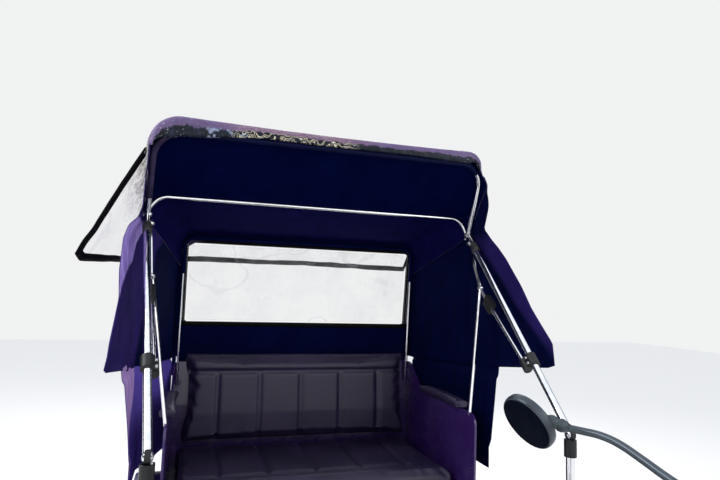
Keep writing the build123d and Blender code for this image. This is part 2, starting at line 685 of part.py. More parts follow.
grips = []
levers = []
for sign in (1, -1):
    end, along = bar_end_frame(sign)
    grip = rod(end - along * 6, end + along * (GRIP_LEN - 6), GRIP_D)
    grips.append(grip - rod(end, end + along * GRIP_LEN, BAR_D + 2 * RUN_GAP))
    outward = Vector(0.18, sign * 0.94, -0.29).normalized()
    clamp_mid = end + along * LEVER_CLAMP_AT
    half_clamp = along * (LEVER_CLAMP_W / 2)
    lever = rod(clamp_mid - half_clamp, clamp_mid + half_clamp, BAR_D + 13)
    lever += rod(clamp_mid, clamp_mid + outward * (LEVER_REACH - 8), LEVER_CLAMP_W * 0.8)
    blade = [
        clamp_mid + outward * (LEVER_REACH - 14),
        clamp_mid + outward * (LEVER_REACH - 2) - along * 30,
        end + outward * LEVER_REACH + along * 62,
        end + outward * (LEVER_REACH + 6) + along * 12,
    ]
    lever += bent_bar([tuple(point) for point in blade], LEVER_D, 24)
    levers.append(lever - rod(end, end + along * BAR_END_LEN, BAR_D + 2 * RUN_GAP))
add("grips", *grips)
add("brake_levers", *levers)

# Passenger body


def lean_x(z):
    """Forward face of the leaning back panel at a height."""
    return BODY_REAR_X - BODY_LEAN * (z - FLOOR_Z) / (BACK_TOP_Z - FLOOR_Z)


inner_half = BODY_HALF - PANEL_T
back_points = [
    (lean_x(FLOOR_Z), FLOOR_Z),
    (lean_x(BACK_TOP_Z), BACK_TOP_Z),
    (lean_x(BACK_TOP_Z) - PANEL_T, BACK_TOP_Z),
    (lean_x(FLOOR_Z) - PANEL_T, FLOOR_Z),
]
add("back_panel", xz_plate(back_points, -inner_half, inner_half))

side_outline = [
    (lean_x(FLOOR_Z) - PANEL_T, FLOOR_Z),
    (lean_x(BACK_TOP_Z) - PANEL_T, BACK_TOP_Z),
    (lean_x(BACK_TOP_Z) + 60, BACK_TOP_Z),
    (lean_x(ARM_Z) + 200, ARM_Z),
    (ARM_FRONT_X, ARM_Z),
    (ARM_FRONT_X - 10, FLOOR_Z),
]
side_panel = xz_plate(side_outline, inner_half, BODY_HALF)
top_edges = side_panel.edges().filter_by(Axis.Y).sort_by(Axis.Z)[-4:]
side_panel = fillet(top_edges, ARM_CURVE_R)
for name, panel in zip(("side_panel_left", "side_panel_right"), pair(side_panel)):
    add(name, panel)

riser = Pos(SEAT_FRONT_X - PANEL_T / 2, 0, (FLOOR_Z + SEAT_Z - PANEL_T) / 2)
riser *= Box(PANEL_T, 2 * inner_half, SEAT_Z - PANEL_T - FLOOR_Z)
add("seat_riser", riser)
deck_points = [
    (lean_x(SEAT_Z - PANEL_T), SEAT_Z - PANEL_T),
    (lean_x(SEAT_Z), SEAT_Z),
    (SEAT_FRONT_X, SEAT_Z),
    (SEAT_FRONT_X, SEAT_Z - PANEL_T),
]
add("seat_deck", xz_plate(deck_points, -inner_half, inner_half))

# Tubes that pass through the floor and the dash, each with a little room round it
passing_tubes = [rod(bb_point, boom_rear, MAIN_TUBE_D + 2)]
for stay_foot in stay_feet:
    passing_tubes.append(rod(stay_top, stay_foot, STAY_D + 2))
    post_y = STRUT_FOOT[1] if stay_foot.Y > 0 else -STRUT_FOOT[1]
    post_low = (STRUT_FOOT[0], post_y, CHASSIS_Z)
    passing_tubes.append(rod(post_low, (STRUT_FOOT[0], post_y, STRUT_FOOT[2]), STANCHION_D + 1))

floor_rear = SEAT_FRONT_X - PANEL_T
floor = Pos((floor_rear + DASH_X) / 2, 0, FLOOR_Z - FLOOR_T / 2)
floor *= Box(DASH_X - floor_rear, 2 * BODY_HALF, FLOOR_T)
floor = fillet(floor.edges().filter_by(Axis.Z), FLOOR_CORNER_R)

dash_low = FLOOR_Z - FLOOR_T
dash_points = [
    (DASH_X, dash_low),
    (DASH_X + DASH_LEAN, DASH_TOP_Z),
    (DASH_X + DASH_LEAN + PANEL_T, DASH_TOP_Z),
    (DASH_X + PANEL_T, dash_low),
]
dash = xz_plate(dash_points, -BODY_HALF, BODY_HALF)
dash += turned(DASH_ROLL_D / 2, 2 * BODY_HALF, (DASH_X + DASH_LEAN + PANEL_T / 2, 0, DASH_TOP_Z))
for index in range(DASH_BEADS):
    share = (index + 1) / (DASH_BEADS + 1)
    bead_x = DASH_X + DASH_LEAN * share + PANEL_T
    bead_z = dash_low + (DASH_TOP_Z - dash_low) * share
    dash += turned(DASH_BEAD_R, 2 * BODY_HALF - 160, (bead_x, 0, bead_z))
for passing in passing_tubes:
    floor -= passing
    dash -= passing
add("floor_plate", floor)
add("dash_panel", dash)

# Cushions and arm pads
cushion_half = inner_half - CUSHION_SIDE_GAP
cushion_rear = lean_x(SEAT_Z) + 2
cushion_len = SEAT_FRONT_X + SEAT_CUSHION_NOSE - cushion_rear
seat_cushion = Pos(cushion_rear + cushion_len / 2, 0, SEAT_Z + SOFT_GAP + SEAT_CUSHION_T / 2)
seat_cushion *= Box(cushion_len, 2 * cushion_half, SEAT_CUSHION_T)
seat_cushion = fillet(seat_cushion.edges().filter_by(Axis.Y), CUSHION_EDGE_R + 7)
add("seat_cushion", seat_cushion)
back_low = SEAT_Z + SEAT_CUSHION_T + 2 * SOFT_GAP
back_cushion_points = [
    (lean_x(back_low) + SOFT_GAP, back_low),
    (lean_x(BACK_TOP_Z) + SOFT_GAP, BACK_TOP_Z),
    (lean_x(BACK_TOP_Z) + BACK_TOP_STEP, BACK_CUSHION_TOP),
    (lean_x(BACK_TOP_Z) + BACK_CUSHION_T * 0.8, BACK_CUSHION_TOP),
    (lean_x(back_low) + BACK_CUSHION_T, back_low),
]
back_half = inner_half - 2 * THIN_BOW_D - 1
back_cushion = xz_plate(back_cushion_points, -back_half, back_half)
back_cushion = fillet(back_cushion.edges().filter_by(Axis.Y), CUSHION_EDGE_R)
add("backrest_cushion", back_cushion)
arm_pad = Pos(ARM_PAD_LEN / 6, BODY_HALF - PANEL_T / 2, ARM_Z + SOFT_GAP + ARM_PAD_T / 2)
arm_pad *= Box(ARM_PAD_LEN, ARM_PAD_W, ARM_PAD_T)
arm_pad = fillet(arm_pad.edges().filter_by(Axis.X), ARM_PAD_T * 0.4)
add("armrest_pads", *pair(arm_pad))

# Fenders


def fender(low_deg, high_deg, y_low, y_high, lips):
    """Curved guard over a wheel at the origin, with turned-down lips along given edges."""
    width = y_high - y_low
    ring = Cylinder(FENDER_R + FENDER_T, width) - Cylinder(FENDER_R, width)
    ring = Pos(0, (y_low + y_high) / 2, 0) * Rot(90, 0, 0) * ring
    for lip_y in lips:
        lip = Cylinder(FENDER_R + FENDER_T / 2, FENDER_LIP_T)
        lip -= Cylinder(FENDER_R - FENDER_LIP, FENDER_LIP_T)
        inset = FENDER_LIP_T / 2 if lip_y < (y_low + y_high) / 2 else -FENDER_LIP_T / 2
        ring += Pos(0, lip_y + inset, 0) * Rot(90, 0, 0) * lip
    far = 3 * WHEEL_R
    keep = [(0, 0)]
    for angle in (radians(low_deg), radians((low_deg + high_deg) / 2), radians(high_deg)):
        keep.append((far * cos(angle), far * sin(angle)))
    return ring & xz_plate(keep, y_low - 1, y_high + 1)


fender_outer = BODY_HALF + FENDER_W
rear_guard = Pos(0, 0, AXLE_Z) * fender(-8, 172, BODY_HALF, fender_outer, [fender_outer])
for name, guard in zip(("rear_fender_left", "rear_fender_right"), pair(rear_guard)):
    add(name, guard)
front_edges = [-FRONT_FENDER_HALF, FRONT_FENDER_HALF]
front_guard = Pos(*tuple(FRONT_AXLE)) * fender(48, 205, *front_edges, front_edges)
stay_y = FORK_LEG_Y + FORK_LEG_D / 2 + 4
stay_angle = radians(196)
stay_hook_r = FENDER_R + FENDER_T / 2
for sign in (-1, 1):
    eye_at = FRONT_AXLE + Vector(0, sign * stay_y, 0)
    stay_eye = turned(10, 4, tuple(eye_at)) - turned(AXLE_BOLT_R + RUN_GAP, 10, tuple(eye_at))
    stay_end = FRONT_AXLE + Vector(
        stay_hook_r * cos(stay_angle), sign * (FRONT_FENDER_HALF - 3), stay_hook_r * sin(stay_angle)
    )
    run = (stay_end - eye_at).normalized()
    front_guard += stay_eye + rod(eye_at + run * 8, stay_end, 5)
add("front_fender", front_guard)

# Stanchions on the front cross tube, and the sockets that carry the hood struts
foot = Vector(STRUT_FOOT)
knuckle = Vector(KNUCKLE)
strut_dir = (foot - knuckle).normalized()
stanchion_low = (foot.X, foot.Y, CHASSIS_Z + RAIL_D / 2 - 2)
stanchion = rod(stanchion_low, (foot.X, foot.Y, foot.Z - EYE_W), STANCHION_D)
add("stanchions", *pair(stanchion - cross_tubes[-1]))

# Hood bows


def thin_bow(row, inset, low):
    """Hoop under the cloth with two legs that end at given points."""
    half = row["half"] - inset
    top = row["z"] - inset - THIN_BOW_DROP
    points = [low, (row["x"], half, top), (row["x"], -half, top), (low[0], -low[1], low[2])]
    return bent_bar(points, THIN_BOW_D, row["corner"] - inset)


rear_row, middle_row, front_row = HOOD_ROWS
thin_inset = CLOTH_T + THIN_BOW_D / 2 + 1
bow_r = HOOD_TUBE_D / 2
front_bow_z = front_row["z"] - CLOTH_T - bow_r - BOW_DROP
front_bow_half = front_row["half"] - CLOTH_T - bow_r - BOW_SIDE_GAP
front_bow_x = front_row["x"] - bow_r
front_bow_points = [
    tuple(knuckle),
    (front_bow_x, front_bow_half, front_bow_z),
    (front_bow_x, -front_bow_half, front_bow_z),
    (knuckle.X, -knuckle.Y, knuckle.Z),
]
front_bow = bent_bar(front_bow_points, HOOD_TUBE_D, BOW_CORNER_R)
sleeve_start = knuckle + strut_dir * 30
barrel = turned(KNUCKLE_R, KNUCKLE_W, KNUCKLE)
joint = rod(knuckle, sleeve_start, HOOD_TUBE_D) + barrel
for joint_side in pair(joint):
    front_bow -= joint_side
add("front_bow", front_bow)
middle_low = tuple(knuckle + Vector(KNUCKLE_LUG))
middle_bow = thin_bow(middle_row, thin_inset, middle_low)
add("middle_bow", middle_bow)
rear_low = (lean_x(BACK_TOP_Z) + 20, inner_half - THIN_BOW_D / 2 - 0.2, BACK_TOP_Z - 90)
add("rear_bow", thin_bow(rear_row, thin_inset + 12, rear_low))

# Hood struts, knuckles with sleeves, jaw clamps and the second struts beside them
strut = rod(sleeve_start + strut_dir * 0.2, foot, HOOD_TUBE_D) + Pos(*STRUT_FOOT) * Sphere(FOOT_BALL_R)
for name, shape in zip(("hood_strut_left", "hood_strut_right"), pair(strut)):
    add(name, shape)
sleeve = rod(sleeve_start - strut_dir * 2, sleeve_start + strut_dir * SLEEVE_LEN, SLEEVE_D)
lug = rod(knuckle, Vector(middle_low) + Vector(0, 4, 0), THIN_BOW_D) - middle_bow
knuckles = pair(joint + (sleeve - strut) + lug)
strut_behind = Vector(strut_dir.Z, 0, -strut_dir.X).normalized()
link_points = []
for row in LINK_PATH:
    link_shift = strut_dir * row["along"] + strut_behind * row["behind"]
    link_points.append(knuckle + link_shift - Vector(0, LINK_INBOARD, 0))
link_pin, link_elbow, jaw_mid, link_foot = link_points


def strap(start, end):
    """Flat bar with round ends, its flat side facing the vehicle's middle."""
    run = end - start
    plane = Plane(origin=(start + end) / 2, z_dir=run, x_dir=(0, 1, 0))
    bar = plane * Box(LINK_STRAP_T, LINK_STRAP_W, run.length)
    for end_point in (start, end):
        bar += turned(LINK_EYE_R, LINK_EYE_T, tuple(end_point))
    return bar


tube_dir = (link_foot - jaw_mid).normalized()
jaw_plane = Plane(origin=jaw_mid, z_dir=tube_dir, x_dir=(0, 1, 0))
jaw = jaw_plane * Box(JAW_T, JAW_W, JAW_LEN)
for index in range(JAW_TEETH):
    tooth_z = JAW_LEN * ((index + 0.5) / JAW_TEETH - 0.5)
    groove = Box(2 * JAW_T, 2 * JAW_GROOVE, JAW_LEN / JAW_TEETH / 2)
    jaw -= jaw_plane * Pos(0, -JAW_W / 2, tooth_z) * groove
link = rod(jaw_mid, link_foot, LINK_TUBE_D)
link += strap(link_pin, link_elbow) + strap(link_elbow, jaw_mid)
prop_foot = Vector(PROP_FOOT_X, BODY_HALF - PANEL_T / 2, ARM_Z - PROP_INSERT)
link += rod(link_elbow, prop_foot, PROP_D)
link -= rod(sleeve_start, sleeve_start + strut_dir * SLEEVE_LEN, SLEEVE_D)
link -= side_panel

clamp_mid = knuckle + (foot - knuckle) * CLAMP_AT
clamp_half = strut_dir * (CLAMP_LEN / 2)
clamp = rod(clamp_mid - clamp_half, clamp_mid + clamp_half, CLAMP_D)
clamp += rod(link_foot - clamp_half, link_foot + clamp_half, CLAMP_D * 0.8)
clamp -= rod(knuckle, foot, HOOD_TUBE_D)
clamp -= link
add("hood_joints", *knuckles, *pair(clamp), *pair(jaw - link))
add("second_struts", *pair(link))

eye = turned(EYE_R, EYE_W, STRUT_FOOT) - Pos(*STRUT_FOOT) * Sphere(FOOT_BALL_R)
socket_top = foot - Vector(0, 0, EYE_W)
eye += rod(socket_top, socket_top - Vector(0, 0, EYE_SOCKET_LEN), STANCHION_D + 9)
eye -= stanchion
eye -= strut
add("deck_hinges", *pair(eye))

# Hood roof


def hood_section(row):
    """Inverted U of cloth round one row, as a closed band."""
    half, top, corner = row["half"], row["z"], row["corner"]
    low = top - row["leg"]
    lines = []
    for inset in (0, CLOTH_T):
        width, height, radius = half - inset, top - inset, corner - inset
        lines.append(Line((-width, low), (-width, height - radius)))
        lines.append(RadiusArc((-width, height - radius), (-width + radius, height), radius))
        lines.append(Line((-width + radius, height), (width - radius, height)))
        lines.append(RadiusArc((width - radius, height), (width, height - radius), radius))
        lines.append(Line((width, height - radius), (width, low)))
    for sign in (-1, 1):
        lines.append(Line((sign * half, low), (sign * (half - CLOTH_T), low)))
    plane = Plane(origin=(row["x"], 0, 0), x_dir=(0, 1, 0), z_dir=(1, 0, 0))
    return plane * make_face(Curve() + lines)


add("hood_roof", loft([hood_section(row) for row in HOOD_ROWS], ruled=True))

# Patterned hem band that wraps the front bow, as one half outline and its mirror
hem_half, hem_top, hem_corner = front_row["half"], front_row["z"], front_row["corner"]
hem_tail, hem_low = hem_top - front_row["leg"], hem_top - HEM_H
hem_edge = [Line((-hem_half + hem_corner, hem_top), (hem_half - hem_corner, hem_top))]
for sign in (-1, 1):
    outer = sign * hem_half
    bend_start = (outer - sign * hem_corner, hem_top)
    bend_end = (outer, hem_top - hem_corner)
    tail = (outer - sign * HEM_TAIL_W, hem_tail)
    shoulder = (outer - sign * HEM_SHOULDER, hem_low)
    hem_edge.append(RadiusArc(bend_start, bend_end, sign * hem_corner))
    hem_edge.append(Line(bend_end, (outer, hem_tail)))
    hem_edge.append(Line((outer, hem_tail), tail))
    hem_edge.append(Line(tail, shoulder))
hem_edge.append(Line((-hem_half + HEM_SHOULDER, hem_low), (hem_half - HEM_SHOULDER, hem_low)))
hem_plane = Plane(origin=(front_row["x"] + SOFT_GAP, 0, 0), x_dir=(0, 1, 0), z_dir=(1, 0, 0))
add("hood_hem", extrude(hem_plane * make_face(Curve() + hem_edge), amount=HEM_T, dir=(1, 0, 0)))

# Rear cloth panel with its window
panel_top_z = rear_row["z"] - REAR_PANEL_DROP
panel_low_z = BACK_TOP_Z - 60
panel_face = [
    (REAR_PANEL_X, panel_top_z),
    (lean_x(BACK_TOP_Z) - PANEL_T - SOFT_GAP, BACK_TOP_Z + 1),
    (lean_x(panel_low_z) - PANEL_T - SOFT_GAP, panel_low_z),
]
panel_outline = panel_face + [(x - CLOTH_T, z) for x, z in panel_face[::-1]]
rear_panel = xz_plate(panel_outline, -rear_row["half"], rear_row["half"])
trim_height = 2 * (panel_top_z - panel_low_z)
trim_plane = Plane(
    origin=(REAR_PANEL_X - 100, 0, panel_top_z - trim_height / 2), x_dir=(0, 1, 0), z_dir=(1, 0, 0)
)
trim = trim_plane * RectangleRounded(2 * rear_row["half"], trim_height, rear_row["corner"])
rear_panel = rear_panel & extrude(trim, amount=150, dir=(1, 0, 0))
window_cut = Pos(REAR_PANEL_X - 40, 0, (WINDOW_TOP_Z + WINDOW_LOW_Z) / 2)
window_cut *= Box(200, 2 * WINDOW_HALF, WINDOW_TOP_Z - WINDOW_LOW_Z)
add("hood_rear_panel", rear_panel - window_cut)
add("rear_window", rear_panel & window_cut)

# Side covers: a cloth wall that stands off the tubes, trimmed to its outline, with a flap that
# reaches forward and a skirt that hangs outside the arm panel, down to the fender
side_walls = [
    {"x": REAR_PANEL_X - 70, "y": rear_row["half"] + 0.5},
    {"x": rear_row["x"], "y": rear_row["half"] + SIDE_STANDOFF},
    {"x": middle_row["x"], "y": WALL_Y},
    {"x": front_row["x"], "y": WALL_Y},
    {"x": FLAP_END_X, "y": FLARE_Y},
]
wall_low, wall_high = SKIRT_LOW_Z - 10, front_row["z"]
wall_bands = []
for row in side_walls:
    centre = (row["x"], row["y"] + CLOTH_T / 2, (wall_low + wall_high) / 2)
    plane = Plane(origin=centre, x_dir=(0, 1, 0), z_dir=(1, 0, 0))
    wall_bands.append(plane * Rectangle(CLOTH_T, wall_high - wall_low))
cover_top_z = rear_row["z"] - rear_row["leg"] + 30
cover_outline = [
    (REAR_PANEL_X - 1, cover_top_z),
    (rear_row["x"] + 30, cover_top_z),
    (middle_row["x"], middle_row["z"] - middle_row["leg"] + 12),
    (front_row["x"] + 4, front_row["z"] - front_row["leg"] + 12),
    (knuckle.X + 110, knuckle.Z + 20),
    (SIDE_FLAP_X, SIDE_LOW_Z + 85),
    (SIDE_FLAP_X - 70, SIDE_LOW_Z),
    (SKIRT_FRONT_X, SIDE_LOW_Z - 40),
    (SKIRT_FRONT_X, SKIRT_LOW_Z),
    (lean_x(SKIRT_LOW_Z) + 20, SKIRT_LOW_Z),
    (lean_x(BACK_TOP_Z) - PANEL_T, BACK_TOP_Z - 40),
]
side_cover = loft(wall_bands, ruled=True) & xz_plate(cover_outline, 0, 2 * BODY_HALF)
for name, cover in zip(("hood_side_left", "hood_side_right"), pair(side_cover)):
    add(name, cover)

# Clear rain curtain thrown back over the roof: x, height over the roof, then the side that
# flares out to the vehicle's right, with its bend and where its hem hangs
curtain_rows = [
    {"x": front_row["x"] - 4, "z": front_row["z"] + CURTAIN_LIFT, "half": front_row["half"],
     "bend": 122.0, "hem_out": CURTAIN_HEM_OUT, "hem_z": CURTAIN_HEM_Z},
    {"x": middle_row["x"], "z": middle_row["z"] + CURTAIN_LIFT, "half": middle_row["half"],
     "bend": 88.0, "hem_out": 226.0, "hem_z": CURTAIN_HEM_Z + 10},
    {"x": rear_row["x"] - 10, "z": rear_row["z"] + CURTAIN_LIFT + 2, "half": rear_row["half"],
     "bend": 72.0, "hem_out": 128.0, "hem_z": CURTAIN_HEM_Z + 20},
    {"x": CURTAIN_BACK_X, "z": CURTAIN_LOW_Z, "half": rear_row["half"] + 34.0,
     "bend": 40.0, "hem_out": 100.0, "hem_z": CURTAIN_HEM_Z - 20},
]


def wing_section(row):
    """Thin band from the top of the roof, over its corner, out to the flared hem."""
    side = row["half"] + CURTAIN_SIDE_LIFT
    hem_y, hem_z = -BODY_HALF - row["hem_out"], row["hem_z"]
    inner_y = -CURTAIN_RIGHT_HALF
    edges = []
    for inset in (0, CURTAIN_T):
        top, out, bend = row["z"] - inset, side - inset, row["bend"] - inset
        edges.append(Line((inner_y, top), (-out + bend, top)))
        edges.append(RadiusArc((-out, top - bend), (-out + bend, top), bend))
        edges.append(Line((-out, top - bend), (hem_y + inset, hem_z)))
    edges.append(Line((inner_y, row["z"]), (inner_y, row["z"] - CURTAIN_T)))
    edges.append(Line((hem_y, hem_z), (hem_y + CURTAIN_T, hem_z)))
    plane = Plane(origin=(row["x"], 0, 0), x_dir=(0, 1, 0), z_dir=(1, 0, 0))
    return plane * make_face(Curve() + edges)


curtain_top = [(row["x"], row["z"]) for row in curtain_rows]
curtain_under = [(x - CURTAIN_T * 0.6, z - CURTAIN_T) for x, z in curtain_top[::-1]]
curtain = xz_plate(curtain_top + curtain_under, -CURTAIN_RIGHT_HALF, rear_row["half"])
curtain += loft([wing_section(row) for row in curtain_rows], ruled=True)
add("rain_curtain", curtain)

# Mirror on a stalk from the left end of the bar
mirror_at = Vector(grip_x - MIRROR_BACK, BAR_HALF - MIRROR_IN, grip_z + MIRROR_UP)
facing_back = Pos(*tuple(mirror_at)) * Rot(0, 90, 0)
mirror_head = facing_back * Cylinder(MIRROR_R, MIRROR_T * 0.4)
dome = Cone(MIRROR_R * 0.98, MIRROR_R * 0.55, MIRROR_T * 0.5)
mirror_head += facing_back * Pos(0, 0, MIRROR_T * 0.45) * dome
add("mirror_head", mirror_head)
glass_shift = Pos(0, 0, -MIRROR_T * 0.2 - 1)
add("mirror_glass", facing_back * glass_shift * Cylinder(MIRROR_R - MIRROR_RIM, 2))
mirror_clamp = bar_end + bar_along * MIRROR_CLAMP_AT
stalk_points = [
    tuple(mirror_clamp + Vector(2, -2, 10)),
    tuple(mirror_clamp + Vector(-6, -34, 34)),
    tuple(mirror_at + Vector(215, 120, -46)),
    tuple(mirror_at + Vector(56, 94, -14)),
    tuple(mirror_at + Vector(8, MIRROR_R - 2, -2)),
]
stalk = bent_bar(stalk_points, STALK_D, [16, 30, 30])
stalk -= mirror_head
stalk += rod(mirror_clamp - bar_along * 12, mirror_clamp + bar_along * 12, BAR_D + 16)
stalk -= bar
add("mirror_stalk", stalk)

# Headlight with its bracket, tail lamps and bumper
lamp_along = HEAD_LOW + HEAD_LEN + 30
lamp_at = steer_point(lamp_along, LAMP_FORWARD)
lamp = Pos(*tuple(lamp_at)) * Rot(0, 90, 0) * Cylinder(LAMP_R, LAMP_LEN)
lamp = chamfer(lamp.edges().sort_by(Axis.X)[0], LAMP_R * 0.4)
lamp_mouth = Pos(lamp_at.X + LAMP_LEN / 2 - 3, 0, lamp_at.Z) * Rot(0, 90, 0)
lamp -= lamp_mouth * Cylinder(LAMP_R - 4, 6)
lamp += rod(steer_point(lamp_along, 10), lamp_at, 14)
lamp -= stem
lamp -= fork
add("headlight", lamp)

tail = Pos(lean_x(TAIL_Z) - PANEL_T - TAIL_T / 2, TAIL_Y, TAIL_Z) * Rot(0, 90, 0)
tail *= Cylinder(TAIL_R, TAIL_T)
tail_seat_z = (TAIL_Z - 2 * TAIL_R, TAIL_Z + 2 * TAIL_R)
tail_seat = [(BODY_REAR_X + 100, tail_seat_z[0]), (BODY_REAR_X + 100, tail_seat_z[1])]
tail_seat += [(lean_x(z) - PANEL_T, z) for z in tail_seat_z[::-1]]
tail -= xz_plate(tail_seat, 0, BODY_HALF)
add("tail_lamps", *pair(tail))

bumper_x = REAR_CROSS_X - BUMPER_BACK
bumper = rod((bumper_x, -BUMPER_HALF, CHASSIS_Z), (bumper_x, BUMPER_HALF, CHASSIS_Z), BUMPER_D)
for sign in (-1, 1):
    stub_foot = (REAR_CROSS_X, sign * RAIL_Y, CHASSIS_Z)
    bumper += rod((bumper_x, sign * RAIL_Y, CHASSIS_Z), stub_foot, BUMPER_STUB_D)
add("rear_bumper", bumper - cross_tubes[0])

shift = Pos(-X_MID, -Y_MID, 0)
os.makedirs("parts", exist_ok=True)
for name, solids in parts.items():
    placed = [shift * solid for solid in solids]
    shape = placed[0] if len(placed) == 1 else Compound(children=placed)
    export_step(shape, "parts/" + name + ".step")
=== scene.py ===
import json
import math

import bpy
import numpy as np
from mathutils import Matrix, Vector
from mathutils.noise import noise


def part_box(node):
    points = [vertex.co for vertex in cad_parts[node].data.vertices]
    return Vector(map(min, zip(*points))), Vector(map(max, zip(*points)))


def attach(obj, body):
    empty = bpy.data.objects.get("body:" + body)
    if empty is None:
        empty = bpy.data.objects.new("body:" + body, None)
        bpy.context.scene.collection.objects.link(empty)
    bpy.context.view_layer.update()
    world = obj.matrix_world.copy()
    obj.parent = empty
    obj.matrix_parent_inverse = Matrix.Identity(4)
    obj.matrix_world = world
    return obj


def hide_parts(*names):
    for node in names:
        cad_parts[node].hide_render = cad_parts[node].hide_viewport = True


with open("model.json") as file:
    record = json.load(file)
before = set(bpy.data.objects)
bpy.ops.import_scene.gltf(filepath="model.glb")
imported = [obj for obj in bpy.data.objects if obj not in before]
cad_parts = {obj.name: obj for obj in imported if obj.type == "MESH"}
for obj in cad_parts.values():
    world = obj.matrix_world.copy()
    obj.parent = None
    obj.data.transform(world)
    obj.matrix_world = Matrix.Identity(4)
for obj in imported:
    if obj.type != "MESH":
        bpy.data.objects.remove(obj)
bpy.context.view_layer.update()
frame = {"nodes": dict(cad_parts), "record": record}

# Sizes in metres, with x forward from the rear axle, y to the vehicle's left and z up
WHEEL_R = 0.330
WHEELBASE = 1.900
TYRE_W = 0.054
BODY_HALF = 0.540
BACK_TOP_Z = 1.060
BACK_TOP_X = -0.3534
HOOD_ROWS = [
    {"x": -0.272, "z": 1.625, "half": 0.546, "corner": 0.070, "leg": 0.140},
    {"x": 0.030, "z": 1.732, "half": 0.668, "corner": 0.080, "leg": 0.092},
    {"x": 0.223, "z": 1.967, "half": 0.650, "corner": 0.105, "leg": 0.140},
]
REAR_ROW, MIDDLE_ROW, FRONT_ROW = HOOD_ROWS
CLOTH_T = 0.003
REAR_CLOTH_T = 0.0024
COVER_T = 0.0024
HEM_T = 0.0022
WINDOW_T = 0.0008
CURTAIN_T = 0.0007
WINDOW_TAPE_T = 0.0016
CURTAIN_TAPE_T = 0.0032
ROOF_SAG = 0.007
ROOF_REAR_X = -0.293
HEM_START = 0.022
HEM_TAPER = 0.075
HEM_LEFT_START = 0.036
FRONT_TUCK = 0.030
FRONT_TIGHT = 0.050
REAR_PANEL_X = -0.2864
PANEL_TOP_Z = 1.616
# FLAP_SHADE and FLAP_TOP_Z bound the painted sunlight on the right flap: lavender above the shadow's
# edge and below the top
FLAP_SHADE = [{"z": 1.600, "fall": 1.02}, {"z": 1.507, "fall": 0.3226}]
FLAP_TOP_Z = 1.612
SKIRT_SHADE = {"x": 0.857, "slope": 0.78}
WINDOW_HALF = 0.507
WINDOW_TOP_Z = 1.575
WINDOW_LOW_Z = 1.235

tyre_low, tyre_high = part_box("front_tyre")
SHIFT = Vector((tyre_high[0] - WHEELBASE - WHEEL_R, (tyre_low[1] + tyre_high[1]) / 2, 0))


def row_point(x, y, z):
    """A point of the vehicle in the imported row's own frame."""
    return Vector((x, y, z)) + SHIFT


# Shaders


class Nodes:
    """Node tree of a material or world, with short ways to add to it."""

    def __init__(self, owner):
        owner.use_nodes = True
        self.owner = owner
        self.tree = owner.node_tree

    def feed(self, socket, value):
        """Give a socket a number or colour, or link another node's output to it."""
        if isinstance(value, bpy.types.NodeSocket):
            self.tree.links.new(value, socket)
        elif socket.type == "RGBA":
            socket.default_value = (*value, 1)
        else:
            socket.default_value = value

    def fill(self, target, **values):
        """Set a node's inputs by name, with _ for each space, and its settings."""
        for key, value in values.items():
            name = key.replace("_", " ")
            if name in target.inputs:
                self.feed(target.inputs[name], value)
            else:
                setattr(target, key, value)
        return target

    def node(self, kind, **values):
        return self.fill(self.tree.nodes.new("ShaderNode" + kind), **values)

    def shade(self, **values):
        """Set inputs of the material's main shader."""
        self.fill(self.tree.nodes["Principled BSDF"], **values)

    def base_color(self):
        """What is linked to the main shader's colour."""
        return self.tree.nodes["Principled BSDF"].inputs["Base Color"].links[0].from_socket

    def coordinates(self, scale=(1, 1, 1)):
        texture = self.node("TexCoord")
        return self.node("Mapping", Vector=texture.outputs["Object"], Scale=scale).outputs["Vector"]

    def split(self, vector):
        parts = self.node("SeparateXYZ", Vector=vector).outputs
        return parts["X"], parts["Y"], parts["Z"]

    def vehicle_axes(self):
        """Place on the vehicle: x forward from the rear axle, y to its left and z up."""
        moved = self.node("VectorMath", operation="SUBTRACT")
        self.feed(moved.inputs[0], self.node("TexCoord").outputs["Object"])
        self.feed(moved.inputs[1], SHIFT)
        return self.split(moved.outputs["Vector"])

    def noise(self, where, scale, detail=4.0, roughness=0.55):
        made = self.node("TexNoise", Vector=where, Scale=scale, Detail=detail, Roughness=roughness)
        return made.outputs["Fac"]

    def wave(self, where, **values):
        return self.node("TexWave", Vector=where, **values).outputs["Fac"]

    def ramp(self, value, *stops):
        made = self.node("ValToRGB", Fac=value)
        elements = made.color_ramp.elements
        while len(elements) < len(stops):
            elements.new(0.5)
        for element, (place, color) in zip(elements, stops):
            element.position = place
            element.color = (*color, 1)
        return made.outputs["Color"]

    def remap(self, value, low, high, to_low, to_high):
        made = self.node(
            "MapRange", Value=value, From_Min=low, From_Max=high, To_Min=to_low, To_Max=to_high
        )
        return made.outputs["Result"]

    def math(self, kind, *values):
        made = self.node("Math", operation=kind)
        for socket, value in zip(made.inputs, values):
            self.feed(socket, value)
        return made.outputs["Value"]

    def product(self, first, *others):
        for other in others:
            first = self.math("MULTIPLY", first, other)
        return first

    def mix(self, share, a, b):
        made = self.node("Mix", data_type="RGBA", Factor=share)
        self.feed(made.inputs[6], a)
        self.feed(made.inputs[7], b)
        return made.outputs[2]

    def band(self, value, low, high, soft):
        """1 between two values and 0 outside them, with soft ends."""
        rising = self.remap(value, low - soft, low + soft, 0, 1)
        falling = self.remap(value, high - soft, high + soft, 1, 0)
        return self.math("MULTIPLY", rising, falling)

    def bump(self, height, strength, distance, before=None):
        """Lay a relief on the main shader, over one made before."""
        made = self.node("Bump", Strength=strength, Distance=distance, Height=height)
        if before is not None:
            self.feed(made.inputs["Normal"], before)
        self.shade(Normal=made.outputs["Normal"])
        return made.outputs["Normal"]


def new_look(name):
    return Nodes(bpy.data.materials.new(name))


